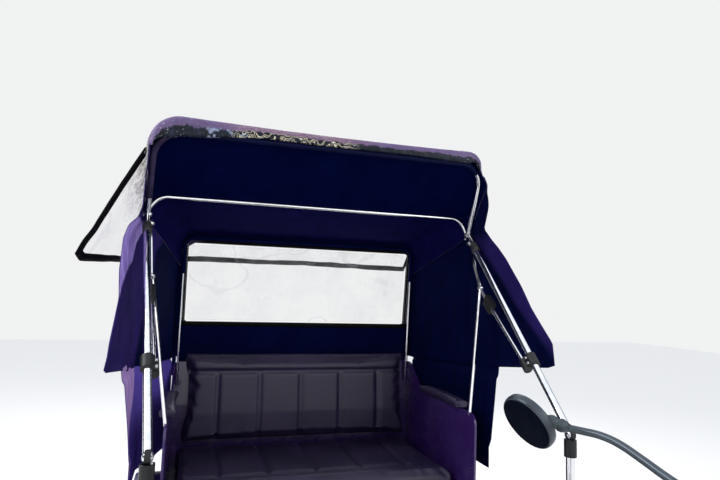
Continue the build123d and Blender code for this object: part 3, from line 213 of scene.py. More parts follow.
def metal_material(name, color, rough, wear, scale):
    """Bare or plated metal with fine scratches and a film of dust."""
    look = new_look(name)
    grain = look.noise(look.coordinates(), scale, 6)
    dull = tuple(channel * 0.85 for channel in color)
    look.shade(
        Metallic=1.0,
        Base_Color=look.ramp(grain, (0.35, dull), (0.6, color)),
        Roughness=look.remap(grain, 0.3, 0.7, rough, rough + wear),
    )
    look.bump(grain, 0.12, 0.0006)
    return look.owner


def paint_material(name, color, rough, fleck=0.04, coat=0.4):
    """Enamel or moulded panel with a slight orange peel and scuffs."""
    look = new_look(name)
    where = look.coordinates()
    scuff = look.noise(where, 7, 8, 0.7)
    pale = tuple(min(1, channel + fleck) for channel in color)
    look.shade(
        Base_Color=look.ramp(scuff, (0.5, color), (0.9, pale)),
        Roughness=look.remap(scuff, 0.35, 0.8, rough, rough + 0.15),
        Coat_Weight=coat,
    )
    look.bump(look.noise(where, 90, 2), 0.08, 0.0008)
    return look.owner


def plastic_material(name, color, rough, scale=500.0, bump=0.25, shine=0.4):
    """Moulded plastic with a fine grain and some dust."""
    look = new_look(name)
    where = look.coordinates()
    dust = look.noise(where, 12, 6, 0.65)
    pale = tuple(min(1, channel * 1.6 + 0.006) for channel in color)
    look.shade(
        Base_Color=look.ramp(dust, (0.45, color), (0.8, pale)),
        Roughness=look.remap(dust, 0.3, 0.8, rough, rough + 0.2),
        Specular_IOR_Level=shine,
    )
    look.bump(look.noise(where, scale, 3), bump, 0.0004)
    return look.owner


def cloth_material(name, color, pale, rough=0.6, sheen=0.25, shine=0.3):
    """Coated canvas with a fine weave and soft creases."""
    look = new_look(name)
    where = look.coordinates()
    crease = look.noise(where, 9, 5, 0.6)
    look.shade(
        Base_Color=look.ramp(crease, (0.35, color), (0.7, pale)),
        Roughness=rough,
        Specular_IOR_Level=shine,
        Sheen_Weight=sheen,
    )
    first = look.bump(crease, 0.35, 0.006)
    look.bump(look.wave(where, Scale=420.0, Distortion=1.2), 0.18, 0.0004, first)
    return look.owner


def leather_material(name, color, pale, rough=0.38):
    """Pebbled seat vinyl, worn pale in places."""
    look = new_look(name)
    where = look.coordinates()
    pebble = look.node("TexVoronoi", Vector=where, Scale=320.0)
    worn = look.noise(where, 6, 6, 0.65)
    look.shade(
        Base_Color=look.ramp(worn, (0.4, color), (0.75, pale)),
        Roughness=look.remap(worn, 0.3, 0.8, rough, rough + 0.18),
    )
    first = look.bump(pebble.outputs["Distance"], 0.25, 0.0005)
    look.bump(look.noise(where, 25, 4), 0.15, 0.003, first)
    return look.owner


def rubber_material(name, color, rough=0.75):
    look = new_look(name)
    where = look.coordinates()
    dust = look.noise(where, 14, 8, 0.7)
    pale = tuple(min(1, channel + 0.07) for channel in color)
    look.shade(
        Base_Color=look.ramp(dust, (0.4, color), (0.8, pale)),
        Roughness=look.remap(dust, 0.3, 0.8, rough - 0.15, rough + 0.1),
    )
    look.bump(look.noise(where, 260, 4), 0.3, 0.0006)
    return look.owner


def clear_vinyl_material(name, haze, tint):
    """Clear flexible sheet, scratched and crinkled, with painted sunlight on part of its wing: a warm
    tint and a hazy glare on its wrinkles.
    """
    look = new_look(name)
    where = look.coordinates()
    crinkle = look.wave(where, Scale=1.6, Distortion=13.0, Detail=3.0, Detail_Scale=1.1)
    scratch = look.noise(look.coordinates((14, 14, 1.2)), 9, 8, 0.75)
    veil = look.remap(look.noise(where, 5, 6, 0.6), 0.40, 0.8, haze, haze + 0.10)
    lines = look.remap(scratch, 0.60, 0.72, 0, 0.22)
    creases = look.remap(crinkle, 0.975, 0.998, 0.0, 0.07)
    total = look.math("ADD", veil, look.math("ADD", lines, creases))
    # painted sunlight: the mask below marks the part of the wing the sun lights; it gets a warm tint
    # and glare on its wrinkles
    x, y, z = look.vehicle_axes()
    to_right = look.math("MULTIPLY", y, -1)
    wing = look.remap(to_right, 0.66, 0.76, 1, 0)
    low = look.remap(z, 1.60, 1.72, 0, 1)
    ahead = look.remap(x, -0.05, 0.05, 0, 1)
    outer = look.remap(to_right, 0.60, 0.66, 0, 1)
    sunlit = look.product(wing, low, ahead, outer)
    sunlit_wrinkle_glare = look.noise(look.coordinates((3, 3, 1)), 22, 6, 0.7)
    sunlit_wrinkle_glare = look.remap(sunlit_wrinkle_glare, 0.40, 0.62, 0.15, 0.75)
    total = look.math("ADD", total, look.math("MULTIPLY", sunlit, sunlit_wrinkle_glare))
    look.shade(
        # painted sunlight: warm tint on the sunlit part of the wing
        Base_Color=look.mix(sunlit, tint, (0.80, 0.74, 0.64)),
        Alpha=look.math("MINIMUM", total, 0.85),
        Roughness=0.06,
        IOR=1.5,
        Coat_Weight=0.6,
        Coat_Roughness=0.03,
    )
    first = look.bump(crinkle, 0.15, 0.004)
    look.bump(look.noise(where, 40, 5), 0.2, 0.003, first)
    return look.owner


def hem_material(name):
    """Band in two tones: lavender, partly a painted sheen off its clear vinyl, over a dark ground
    with pale scrolls, and painted glints near its ends.
    """
    look = new_look(name)
    where = look.coordinates()
    y = look.vehicle_axes()[1]
    across = look.split(look.node("UVMap").outputs["UV"])[1]
    swirl = look.wave(
        where, wave_type="RINGS", Scale=16.0, Distortion=11.0, Detail=1.5, Detail_Scale=2.2
    )
    none, full = (0, 0, 0), (1, 1, 1)
    lines = look.ramp(swirl, (0.0, none), (0.50, none), (0.64, full), (0.84, full), (0.95, none))
    scrolls = look.math("MULTIPLY", lines, look.band(y, -0.37, 0.08, 0.02))
    patch = look.noise(where, 34, 2)
    ground = look.ramp(
        look.noise(where, 24, 4),
        (0.35, (0.002, 0.004, 0.008)),
        (0.55, (0.007, 0.011, 0.021)),
        (0.7, (0.016, 0.024, 0.055)),
    )
    pale = look.math(
        "MULTIPLY", look.remap(patch, 0.46, 0.54, 0, 1), look.band(y, -0.47, -0.34, 0.02)
    )
    lower = look.mix(pale, ground, (0.27, 0.31, 0.46))
    gold = look.ramp(
        look.noise(where, 60, 3), (0.4, (0.58, 0.50, 0.33)), (0.6, (0.80, 0.76, 0.62))
    )
    lower = look.mix(scrolls, lower, gold)
    # painted sheen: the top half's lavender is the purple cloth brightened by a painted sheen of sky
    # off its clear vinyl, with a rosy tone in the middle
    rosy = look.mix(
        look.band(y, -0.36, 0.12, 0.08), (0.150, 0.105, 0.235), (0.235, 0.145, 0.225)
    )
    worn = look.remap(look.noise(where, 20, 5), 0.4, 0.75, 0, 0.5)
    upper = look.mix(worn, rosy, (0.07, 0.045, 0.11))
    upper = look.mix(look.math("MULTIPLY", scrolls, 0.45), upper, (0.45, 0.36, 0.40))
    edge = look.math("ADD", across, look.remap(patch, 0.3, 0.7, -0.08, 0.08))
    base = look.mix(look.remap(edge, 0.52, 0.60, 0, 1), upper, lower)
    # painted glints: pale specks, strongest near the band's ends, stand in for highlights on its
    # crinkles
    ends = look.remap(look.math("ABSOLUTE", y), 0.44, 0.60, 0.18, 1)
    painted_glint = look.remap(look.noise(where, 120, 6, 0.75), 0.59, 0.66, 0, 0.8)
    look.shade(
        Base_Color=look.mix(look.math("MULTIPLY", ends, painted_glint), base, (0.62, 0.62, 0.70)),
        Roughness=0.42,
        Specular_IOR_Level=0.12,
        Coat_Weight=0.12,
        Coat_Roughness=0.12,
    )
    first = look.bump(look.noise(where, 30, 6, 0.65), 0.5, 0.006)
    look.bump(look.noise(where, 110, 4), 0.3, 0.002, first)
    return look.owner


def zoned_cloth_material(name, dark, lit, zone, soft=0.006, rough=0.75, shine=0.05, deeper=None):
    """Cloth of two tones, mostly painted light and shade on one cloth; zone gives the signed distance
    into the second one, deeper a third one.
    """
    look = Nodes(cloth_material(name, *dark, rough, 0.0, shine))
    fold = look.noise(look.coordinates((5, 5, 1.2)), 5, 3)
    color = look.base_color()
    layers = [(lit, zone, soft)]
    if deeper:
        layers.append((*deeper, 0.012))
    for tones, layer_zone, edge in layers:
        share = look.remap(layer_zone(look, *look.vehicle_axes()), -edge, edge, 0, 1)
        color = look.mix(share, color, look.ramp(fold, (0.38, tones[0]), (0.62, tones[1])))
    look.shade(Base_Color=color)
    return look.owner


def line_at(look, across, base, slope):
    """Straight line: its base value less the slope times the place across."""
    return look.math("SUBTRACT", base, look.math("MULTIPLY", across, slope))


def flap_zone(look, x, y, z):
    """Height above the shadow's edge on the flap, which is two straight lines."""
    lines = [line_at(look, x, row["z"], row["fall"]) for row in FLAP_SHADE]
    above = look.math("SUBTRACT", z, look.math("MAXIMUM", *lines))
    return look.math("MINIMUM", above, look.math("SUBTRACT", FLAP_TOP_Z, z))


def skirt_zone(look, x, y, z):
    """Distance ahead of the shadow's edge on the skirt."""
    return look.math("SUBTRACT", x, line_at(look, z, SKIRT_SHADE["x"], SKIRT_SHADE["slope"]))


def painted_shade_behind(base, slope):
    """Zone of painted shade on a side: behind a slanted line, and above the knuckles."""

    def zone(look, x, y, z):
        behind = look.math("SUBTRACT", line_at(look, z, base, slope), x)
        return look.math("MAXIMUM", behind, look.math("SUBTRACT", z, FLAP_TOP_Z + 0.020))

    return zone


def behind_middle_bow(look, x, y, z):
    return look.math("SUBTRACT", MIDDLE_ROW["x"] - 0.004, x)


# painted shade: the front sleeve's right corner and leg, beyond the top
def beside_the_top(look, x, y, z):
    return look.math("SUBTRACT", -0.545, y)


def joint_material(name):
    """Bright knuckles above a level, black fittings below it."""
    look = Nodes(plastic_material(name, FITTING_BLACK, 0.34))
    z = look.vehicle_axes()[2]
    bright = look.remap(z, KNUCKLE_CHROME_Z - 0.001, KNUCKLE_CHROME_Z + 0.001, 0, 1)
    look.shade(
        Base_Color=look.mix(bright, look.base_color(), (0.8, 0.81, 0.84)),
        Metallic=bright,
        Roughness=look.remap(bright, 0, 1, 0.45, 0.12),
    )
    return look.owner


KNUCKLE_CHROME_Z = 1.594
FITTING_BLACK = (0.0045, 0.005, 0.006)
FRAME_BLACK = (0.02, 0.02, 0.022)
MATERIALS = {
    "frame_paint": paint_material("frame_paint", FRAME_BLACK, 0.22),
    "body_purple": paint_material("body_purple", (0.035, 0.012, 0.11), 0.22, 0.015),
    "floor_plate": metal_material("floor_plate", (0.62, 0.63, 0.65), 0.35, 0.2, 20),
    "chrome": metal_material("chrome", (0.86, 0.87, 0.89), 0.07, 0.10, 45),
    "axle_steel": metal_material("axle_steel", (0.45, 0.45, 0.47), 0.3, 0.15, 40),
    "cast_alloy": metal_material("cast_alloy", (0.5, 0.51, 0.53), 0.4, 0.2, 90),
    "black_fitting": plastic_material("black_fitting", FITTING_BLACK, 0.34),
    "tyre_rubber": rubber_material("tyre_rubber", (0.022, 0.022, 0.022)),
    "wheel_alloy": metal_material("wheel_alloy", (0.68, 0.69, 0.71), 0.22, 0.15, 50),
    "chain_steel": metal_material("chain_steel", (0.28, 0.26, 0.23), 0.45, 0.2, 120),
    "vinyl_seat": leather_material("vinyl_seat", (0.012, 0.007, 0.032), (0.028, 0.018, 0.06)),
    "saddle_vinyl": leather_material("saddle_vinyl", (0.015, 0.015, 0.016), (0.05, 0.05, 0.05)),
    "hood_cloth": cloth_material("hood_cloth", (0.016, 0.008, 0.05), (0.035, 0.018, 0.095)),
    "hood_hem": hem_material("hood_hem"),
    "clear_vinyl": clear_vinyl_material("clear_vinyl", 0.03, (0.90, 0.91, 0.93)),
    "grip_rubber": rubber_material("grip_rubber", (0.02, 0.02, 0.02), 0.65),
    "mirror_face": metal_material("mirror_face", (0.9, 0.92, 0.95), 0.02, 0.02, 10),
    "lamp_body": plastic_material("lamp_body", FRAME_BLACK, 0.35),
    "tail_red": paint_material("tail_red", (0.45, 0.008, 0.008), 0.15, 0.02, 1.0),
}
NAVY = ((0.0000, 0.0016, 0.0260), (0.0002, 0.0026, 0.0360))
DUSK = ((0.0032, 0.0030, 0.0450), (0.0048, 0.0042, 0.0600))
# painted shade: the shaded tone of the right flap's cloth
PURPLE = ((0.0200, 0.0120, 0.1050), (0.0340, 0.0200, 0.1550))
DEEP_PURPLE = ((0.0110, 0.0070, 0.0680), (0.0190, 0.0120, 0.1000))
# painted sunlight: the sunlit tone of the right flap's cloth
SUNLIT_LAVENDER = ((0.34, 0.23, 0.72), (0.56, 0.41, 0.95))
# painted light on the right skirt: the next colour is its shaded tone, painted brighter than the
# shade it lies in, and the one after is its sunlit tone
SKIRT_SHADED_PURPLE = ((0.11, 0.07, 0.42), (0.15, 0.10, 0.55))
SKIRT_SUNLIT_LAVENDER = ((0.40, 0.24, 0.62), (0.60, 0.40, 0.80))
# painted shade: dark grey standing in for the chrome of the bow's right leg in shade, reflecting the
# dark lining
SHADED_CHROME_GREY = ((0.020, 0.014, 0.045), (0.045, 0.034, 0.085))
LINING = zoned_cloth_material("hood_lining", NAVY, DUSK, behind_middle_bow, 0.01, 0.8, 0.02)
REAR_LINING = cloth_material(
    "rear_lining", (0.0008, 0.0026, 0.0300), (0.0014, 0.0040, 0.0420), 0.8, 0.0, 0.03
)
SLEEVE_CLOTH = zoned_cloth_material(
    "sleeve_cloth", NAVY, SHADED_CHROME_GREY, beside_the_top, 0.03, 0.6, 0.12
)
# painted shade: the left cover's cloth turns navy behind a slanted line and above the knuckles
FLAP_SHADED_CLOTH = zoned_cloth_material("flap_shaded_cloth", DEEP_PURPLE, NAVY, painted_shade_behind(2.082, 1.245), 0.02)
FLAP_OUTSIDE = cloth_material(
    "flap_outside", (0.03, 0.016, 0.110), (0.06, 0.035, 0.19), 0.7, 0.0, 0.12
)
# right flap with painted light: sunlit lavender above the shadow's edge, shaded purple below, and
# painted deep shade in navy behind a slanted line
FLAP_LIT = zoned_cloth_material(
    "flap_lit", PURPLE, SUNLIT_LAVENDER, flap_zone, deeper=(NAVY, painted_shade_behind(0.35, 0.30))
)
# right skirt with painted light: sunlit lavender ahead of the shadow's edge, shaded purple behind it
SKIRT_LIT = zoned_cloth_material("skirt_lit", SKIRT_SHADED_PURPLE, SKIRT_SUNLIT_LAVENDER, skirt_zone)
GLOSSY_SHELL = plastic_material("glossy_shell", (0.055, 0.068, 0.080), 0.24, 300, 0.08)
Nodes(GLOSSY_SHELL).shade(Metallic=0.6)
MATT_BACK = plastic_material("matt_back", (0.0005, 0.0020, 0.0075), 0.75, 500, 0.1, 0.05)
BINDING = cloth_material(
    "binding_tape", (0.0022, 0.0022, 0.003), (0.005, 0.005, 0.006), 0.7, 0.0, 0.1
)
THREAD = plastic_material("thread", (0.45, 0.44, 0.5), 0.7)
JOINTS = joint_material("hood_joints")

slots = {row["node"]: row["material_slot"] for row in frame["record"]["subparts"]}
for name, obj in frame["nodes"].items():
    obj.data.materials.clear()
    obj.data.materials.append(JOINTS if name == "hood_joints" else MATERIALS[slots[name]])


# Meshes and curves


def linked(name, data):
    """New object of the scene that shows some data."""
    obj = bpy.data.objects.new(name, data)
    bpy.context.scene.collection.objects.link(obj)
    return obj


def mesh_object(name, verts, faces, materials, smooth=True, uvs=None):
    mesh = bpy.data.meshes.new(name)
    mesh.from_pydata([tuple(v) for v in verts], [], faces)
    mesh.update()
    if uvs is not None:
        layer = mesh.uv_layers.new(name="UVMap")
        for loop in mesh.loops:
            layer.data[loop.index].uv = uvs[loop.vertex_index]
    for polygon in mesh.polygons:
        polygon.use_smooth = smooth
    for material in materials:
        mesh.materials.append(material)
    return linked(name, mesh)


def sheet_grid(name, point, counts, thickness, materials, uv_scale=(1, 1), offset=-1.0):
    """Sheet over a grid of u and v from 0 to 1; a second material is for its other face."""
    count_u, count_v = counts
    verts, uvs = [], []
    for i in range(count_u + 1):
        for j in range(count_v + 1):
            u, v = i / count_u, j / count_v
            verts.append(point(u, v))
            uvs.append((u * uv_scale[0], v * uv_scale[1]))
    faces = []
    for i in range(count_u):
        for j in range(count_v):
            a = i * (count_v + 1) + j
            faces.append((a, a + count_v + 1, a + count_v + 2, a + 1))
    obj = mesh_object(name, verts, faces, materials, uvs=uvs)
    solid = obj.modifiers.new("thickness", "SOLIDIFY")
    solid.thickness = thickness
    solid.offset = offset
    solid.material_offset = len(materials) - 1
    return obj


def tube_object(name, points, radius, material):
    """Round tape or wire along a smooth curve."""
    curve = bpy.data.curves.new(name, "CURVE")
    curve.dimensions = "3D"
    spline = curve.splines.new("NURBS")
    spline.points.add(len(points) - 1)
    for target, place in zip(spline.points, points):
        target.co = (*place, 1)
    spline.order_u = 3
    spline.use_endpoint_u = True
    curve.bevel_depth = radius
    curve.bevel_resolution = 3
    curve.resolution_u = 6
    curve.use_fill_caps = True
    curve.materials.append(material)
    return linked(name, curve)


def lathe(name, rows, centre, axes, material, steps):
    """Round body: rows of (along, radius), turned about the third axis."""
    side, upright, along = (Vector(axis).normalized() for axis in axes)
    verts = []
    for place, radius in rows:
        for step in range(steps):
            angle = 2 * math.pi * step / steps
            out = side * math.cos(angle) * radius + upright * math.sin(angle) * radius
            verts.append(Vector(centre) + along * place + out)
    faces = []
    for ring in range(len(rows) - 1):
        for step in range(steps):
            a = ring * steps + step
            b = ring * steps + (step + 1) % steps
            faces.append((a, b, b + steps, a + steps))
    faces.append(tuple(range(steps))[::-1])
    faces.append(tuple((len(rows) - 1) * steps + step for step in range(steps)))
    return mesh_object(name, verts, faces, [material])


def collar_rows(start, end, bore, radius):
    """Lathe rows of a short tube with bevelled ends."""
    lip, bevel = radius - 0.0010, 0.0020
    return [
        (start, bore),
        (start, lip),
        (start + bevel, radius),
        (end - bevel, radius),
        (end, lip),
        (end, bore),
    ]


def lerp(a, b, t):
    return a + (b - a) * t


def table_at(rows, key, place, by="x"):
    """Straight-line reading of one column of a table at a place."""
    for low, high in zip(rows, rows[1:]):
        if place <= high[by] or high is rows[-1]:
            share = (place - low[by]) / (high[by] - low[by])
            return lerp(low[key], high[key], share)
    return rows[-1][key]


def smooth_step(value):
    value = max(0.0, min(1.0, value))
    return value * value * (3 - 2 * value)


def ripple(size, *place):
    """Smooth random wave, read at a scaled place."""
    return size * noise(Vector(place))


def keep_on(obj, body, slot, *nodes):
    """Put a piece on a body, in the place of CAD nodes if it stands for some."""
    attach(obj, body)
    if nodes:
        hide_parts(*nodes)
    return obj


def keep_piece(obj, slot, *nodes):
    return keep_on(obj, "chassis", slot, *nodes)


# Hood cloth


def near_front_bow(x):
    """0 well behind the front bow and 1 at it."""
    return smooth_step((x - 0.10) / 0.12)


def front_gather(x, z):
    """How far the cloth is drawn in at the left end of the front bow."""
    return FRONT_TUCK * smooth_step((z - 1.83) / 0.07) * near_front_bow(x)


def hood_profile(x, v):
    """Point and outward normal of the hood's section at x; v runs from its right side to its left."""
    half, top, leg, corner = (table_at(HOOD_ROWS, key, x) for key in ("half", "z", "leg", "corner"))
    sign = -1 if v < 0.5 else 1
    if sign > 0:
        corner -= FRONT_TIGHT * near_front_bow(x)
    drop = max(0.0, leg - corner)
    bend = corner * math.pi / 2
    run = 2 * min(v, 1 - v) * (drop + bend + half - corner)
    if run < drop:
        y, z = half, top - corner - drop + run
        normal = (1, 0)
    elif run < drop + bend:
        angle = (run - drop) / corner
        y = half - corner + corner * math.cos(angle)
        z = top - corner + corner * math.sin(angle)
        normal = (math.cos(angle), math.sin(angle))
    else:
        y, z = half - corner - (run - drop - bend), top
        normal = (0, 1)
    if sign > 0:
        y -= front_gather(x, z) * smooth_step((y - 0.40) / 0.12)
    return sign * y, z, sign * normal[0], normal[1]


def front_rise(y):
    """How much the stretched front edge of the roof rises towards the vehicle's right."""
    share = y / FRONT_ROW["half"]
    return 0.0035 * (1 - share) - 0.0095 * max(0.0, 1 - share * share)


def roof_sag(x, nz):
    """Dip of the cloth between the bows."""
    low, middle, high = (row["x"] for row in HOOD_ROWS)
    span = (x - low) / (middle - low) if x < middle else (x - middle) / (high - middle)
    return -ROOF_SAG * math.sin(math.pi * max(0.0, min(1.0, span))) * max(0.0, nz)


def roof_lift(x, y, z, nz):
    """Sag and soft creases of the roof cloth, below its drawn line."""
    crease = ripple(0.0035, x * 9, y * 3, z * 5) + ripple(0.0025, x * 22, y * 14, 3.0) * (1 - nz)
    share = smooth_step((x - MIDDLE_ROW["x"]) / (FRONT_ROW["x"] - MIDDLE_ROW["x"]))
    return roof_sag(x, nz) + min(0.0, crease - 0.001) + front_rise(y) * share * max(0.0, nz)


def roof_point(u, v):
    x = lerp(ROOF_REAR_X, FRONT_ROW["x"], u)
    y, z, ny, nz = hood_profile(x, v)
    lift = roof_lift(x, y, z, nz)
    return row_point(x, y + ny * lift, z + nz * lift)


roof = sheet_grid("roof_cloth", roof_point, (44, 90), CLOTH_T, [MATERIALS["hood_cloth"], LINING])
keep_piece(roof, "hood_cloth", "hood_roof")


HEM_TAIL = 0.012
HEM_MIDDLE = 0.037
HEM_LEFT = 0.047
HEM_RIGHT = 0.068
HEM_ROLL = [
    {"v": 0.0, "ahead": -0.022, "down": -0.002},
    {"v": 0.12, "ahead": -0.006, "down": -0.003},
    {"v": 0.24, "ahead": 0.004, "down": 0.002},
    {"v": 0.36, "ahead": 0.0085, "down": 0.010},
    {"v": 0.9, "ahead": 0.0095, "down": 1.0},
    {"v": 1.0, "ahead": 0.004, "down": 1.06},
]


def hem_height(y):
    """Height of the hem band on the front bow, most at the vehicle's right corner."""
    share = y / FRONT_ROW["half"]
    if share < 0:
        return lerp(HEM_MIDDLE, HEM_RIGHT, smooth_step((-share - 0.35) / 0.55))
    return lerp(HEM_MIDDLE, HEM_LEFT, smooth_step((share - 0.4) / 0.5))


def hem_point(u, v):
    """Band rolled over the front bow: from the roof, over the edge, down its front."""
    x = FRONT_ROW["x"]
    y, z, ny, nz = hood_profile(x, lerp(HEM_START, 1 - HEM_LEFT_START, u))
    ends = min(u, 1 - u)
    height = lerp(HEM_TAIL, hem_height(y), smooth_step(ends / HEM_TAPER))
    ahead = table_at(HEM_ROLL, "ahead", v, "v")
    share = table_at(HEM_ROLL, "down", v, "v")
    down = share if abs(share) < 0.02 else lerp(0.010, height, (share - 0.010) / 0.990)
    down = min(down, height * 1.06)
    puff = 0.0022 * math.sin(math.pi * max(0.0, (v - 0.3) / 0.7))
    wrinkle = ripple(0.0016, y * 38, z * 38, v * 2.5)
    wrinkle += ripple(0.0022, y * 90, z * 90, v * 5) * (1 - smooth_step(nz * 1.6 - 0.5))
    lift = front_rise(y) * max(0.0, nz) - down
    return row_point(x + ahead + puff + wrinkle, y + ny * lift, z + nz * lift)


hem = sheet_grid(
    "hem_band", hem_point, (240, 20), HEM_T, [MATERIALS["hood_hem"]], uv_scale=(1.55, 1.0), offset=0.0
)
keep_piece(hem, "hood_hem", "hood_hem")


# Rear panel with its clear window, bound in black and stitched


def lean_x(z):
    """Rear face of the body and of the cloth panel that carries on above it."""
    if z > BACK_TOP_Z:
        share = (z - BACK_TOP_Z) / (PANEL_TOP_Z - BACK_TOP_Z)
        return lerp(BACK_TOP_X, REAR_PANEL_X, share)
    return lerp(BACK_TOP_X, BACK_TOP_X + 0.0045, (BACK_TOP_Z - z) / 0.06)


def rounded_rectangle(turn, half, low, high, corner_top, corner_low):
    """Point on an upright rectangle with round corners; turn runs once round it."""
    corners = [
        (half, high, corner_top, 0.0),
        (-half, high, corner_top, 0.25),
        (-half, low, corner_low, 0.5),
        (half, low, corner_low, 0.75),
    ]
    points = []
    for y, z, corner, start in corners:
        centre_y = y - math.copysign(corner, y)
        centre_z = z - corner if z == high else z + corner
        for step in range(9):
            angle = 2 * math.pi * (start + 0.25 * step / 8)
            points.append((centre_y + corner * math.cos(angle), centre_z + corner * math.sin(angle)))
    points.append(points[0])
    runs = [math.hypot(b[0] - a[0], b[1] - a[1]) for a, b in zip(points, points[1:])]
    goal = turn * sum(runs)
    for (a, b), run in zip(zip(points, points[1:]), runs):
        if goal <= run and run > 0:
            return lerp(a[0], b[0], goal / run), lerp(a[1], b[1], goal / run)
        goal -= run
    return points[-1]


def rear_ring(outer, inner, back):
    """Surface function for a frame between two rounded rectangles on the rear panel."""

    def point(u, v):
        y0, z0 = rounded_rectangle(u, *outer)
        y1, z1 = rounded_rectangle(u, *inner)
        y, z = lerp(y0, y1, v), lerp(z0, z1, v)
        return row_point(lean_x(z) - back - ripple(0.003, y * 7, 1.3, z * 7), y, z)

    return point


PANEL_HALF = REAR_ROW["half"] + 0.0035
PANEL_OUT = (PANEL_HALF, BACK_TOP_Z - 0.06, PANEL_TOP_Z, REAR_ROW["corner"], 0.002)
WINDOW_OUT = (WINDOW_HALF + 0.020, WINDOW_LOW_Z - 0.020, WINDOW_TOP_Z + 0.012, 0.016, 0.016)
WINDOW_IN = (WINDOW_HALF, WINDOW_LOW_Z, WINDOW_TOP_Z, 0.006, 0.006)
window_binding = sheet_grid(
    "window_binding", rear_ring(WINDOW_OUT, WINDOW_IN, -0.0012), (260, 2), WINDOW_TAPE_T, [BINDING]
)
keep_piece(window_binding, "black_fitting")
rear_cloth = sheet_grid(
    "rear_panel_cloth",
    rear_ring(PANEL_OUT, WINDOW_OUT, 0.0005),
    (260, 14),
    REAR_CLOTH_T,
    [REAR_LINING, MATERIALS["hood_cloth"]],
)
keep_piece(rear_cloth, "hood_cloth", "hood_rear_panel")


def window_point(u, v):
    y = lerp(-WINDOW_HALF + 0.006, WINDOW_HALF - 0.006, u)
    z = lerp(WINDOW_LOW_Z + 0.006, WINDOW_TOP_Z - 0.006, v)
    wave = ripple(0.004, y * 4, 5.1, z * 4) * math.sin(math.pi * u) * math.sin(math.pi * v)
    return row_point(lean_x(z) - 0.0026 - abs(wave), y, z)


window = sheet_grid("rear_window_sheet", window_point, (60, 30), WINDOW_T, [MATERIALS["clear_vinyl"]])
keep_piece(window, "clear_vinyl", "rear_window")


# Side covers: a cloth wall with a flap that reaches forward, and a skirt below it
COVER_FRONT = [
    {"z": 1.110, "x": 0.270, "left": 0.678, "right": 0.678},
    {"z": 1.150, "x": 0.598, "left": 0.690, "right": 0.690},
    {"z": 1.190, "x": 0.603, "left": 0.682, "right": 0.682},
    {"z": 1.232, "x": 0.600, "left": 0.679, "right": 0.679},
    {"z": 1.345, "x": 0.492, "left": 0.672, "right": 0.676},
    {"z": 1.427, "x": 0.408, "left": 0.684, "right": 0.690},
    {"z": 1.530, "x": 0.302, "left": 0.690, "right": 0.700},
    {"z": 1.580, "x": 0.250, "left": 0.684, "right": 0.692},
    {"z": 1.612, "x": 0.216, "left": 0.676, "right": 0.668},
    {"z": 1.662, "x": 0.168, "left": 0.668, "right": 0.661},
    {"z": 1.735, "x": 0.190, "left": 0.671, "right": 0.6575},
    {"z": 1.790, "x": 0.212, "left": 0.668, "right": 0.655},
    {"z": 1.820, "x": 0.218, "left": 0.653, "right": 0.653},
    {"z": 1.869, "x": 0.224, "left": 0.651, "right": 0.651},
]
COVER_REAR = [
    {"z": 1.110, "x": -0.350},
    {"z": 1.500, "x": -0.303},
    {"z": 1.540, "x": -0.298},
    {"z": 1.546, "x": -0.250},
    {"z": 1.682, "x": 0.030},
    {"z": 1.869, "x": 0.219},
]
COVER_WALL = [
    {"x": -0.356, "left": 0.5475, "right": 0.5475},
    {"x": -0.272, "left": 0.5510, "right": 0.5510},
    {"x": 0.030, "left": 0.6745, "right": 0.6725},
    {"x": 0.230, "left": 0.6740, "right": 0.6700},
    {"x": 0.640, "left": 0.6900, "right": 0.6900},
]
COVER_LOW, COVER_HIGH = COVER_FRONT[0]["z"], COVER_FRONT[-1]["z"]
COVER_HANG = 0.028
SKIRT_ROWS = [
    {"z": 0.730, "x": 0.262, "y": 0.618},
    {"z": 0.790, "x": 0.262, "y": 0.632},
    {"z": 0.830, "x": 0.262, "y": 0.650},
    {"z": 0.937, "x": 0.263, "y": 0.660},
    {"z": 1.114, "x": 0.264, "y": 0.679},
]
SKIRT_REAR_X = -0.300
SKIRT_TOP_OUT = 0.007


def cover_point(sign):
    """Surface function of one side cover; v runs up it and u from its rear edge forward."""
    side = "left" if sign > 0 else "right"

    def point(u, v):
        z = lerp(COVER_LOW, COVER_HIGH, v)
        rear = table_at(COVER_REAR, "x", z, "z")
        front = table_at(COVER_FRONT, "x", z, "z")
        x = lerp(rear, max(rear, front), u)
        wall = table_at(COVER_WALL, side, x)
        edge = table_at(COVER_FRONT, side, z, "z")
        y = lerp(wall, edge, smooth_step((u - 0.40) / 0.50))
        ease = math.sin(math.pi * min(1.0, u * 1.02)) * math.sin(math.pi * v) ** 0.5
        fold = ripple(0.010, x * 4.2 + z * 2.4, 2.7 * sign, z * 2.2 - x * 1.6)
        fold += ripple(0.004, x * 13 + z * 9, 5.1 * sign, z * 6)
        calm = 1 - 0.85 * smooth_step((z - 1.56) / 0.06)
        if sign > 0:
            calm *= 1 - 0.9 * smooth_step((u - 0.75) / 0.25)
        y += (0.004 * ease + fold * (0.25 + 0.75 * ease)) * calm * smooth_step(u / 0.15)
        seam_z = table_at(HOOD_ROWS, "z", x) - table_at(HOOD_ROWS, "leg", x)
        sewn = smooth_step((z - seam_z + 0.055) / 0.050)
        y = lerp(y, table_at(HOOD_ROWS, "half", x) + 0.0010, sewn)
        if sign > 0:
            y -= front_gather(x, z)
        x += ripple(0.004, z * 7, 3.3 * sign, 0) * smooth_step((u - 0.8) / 0.2)
        z -= COVER_HANG * smooth_step((0.27 - x) / 0.20) * (1 - smooth_step(v / 0.10))
        return row_point(x, sign * max(y, min(wall - 0.004, 0.620)), z)

    return point


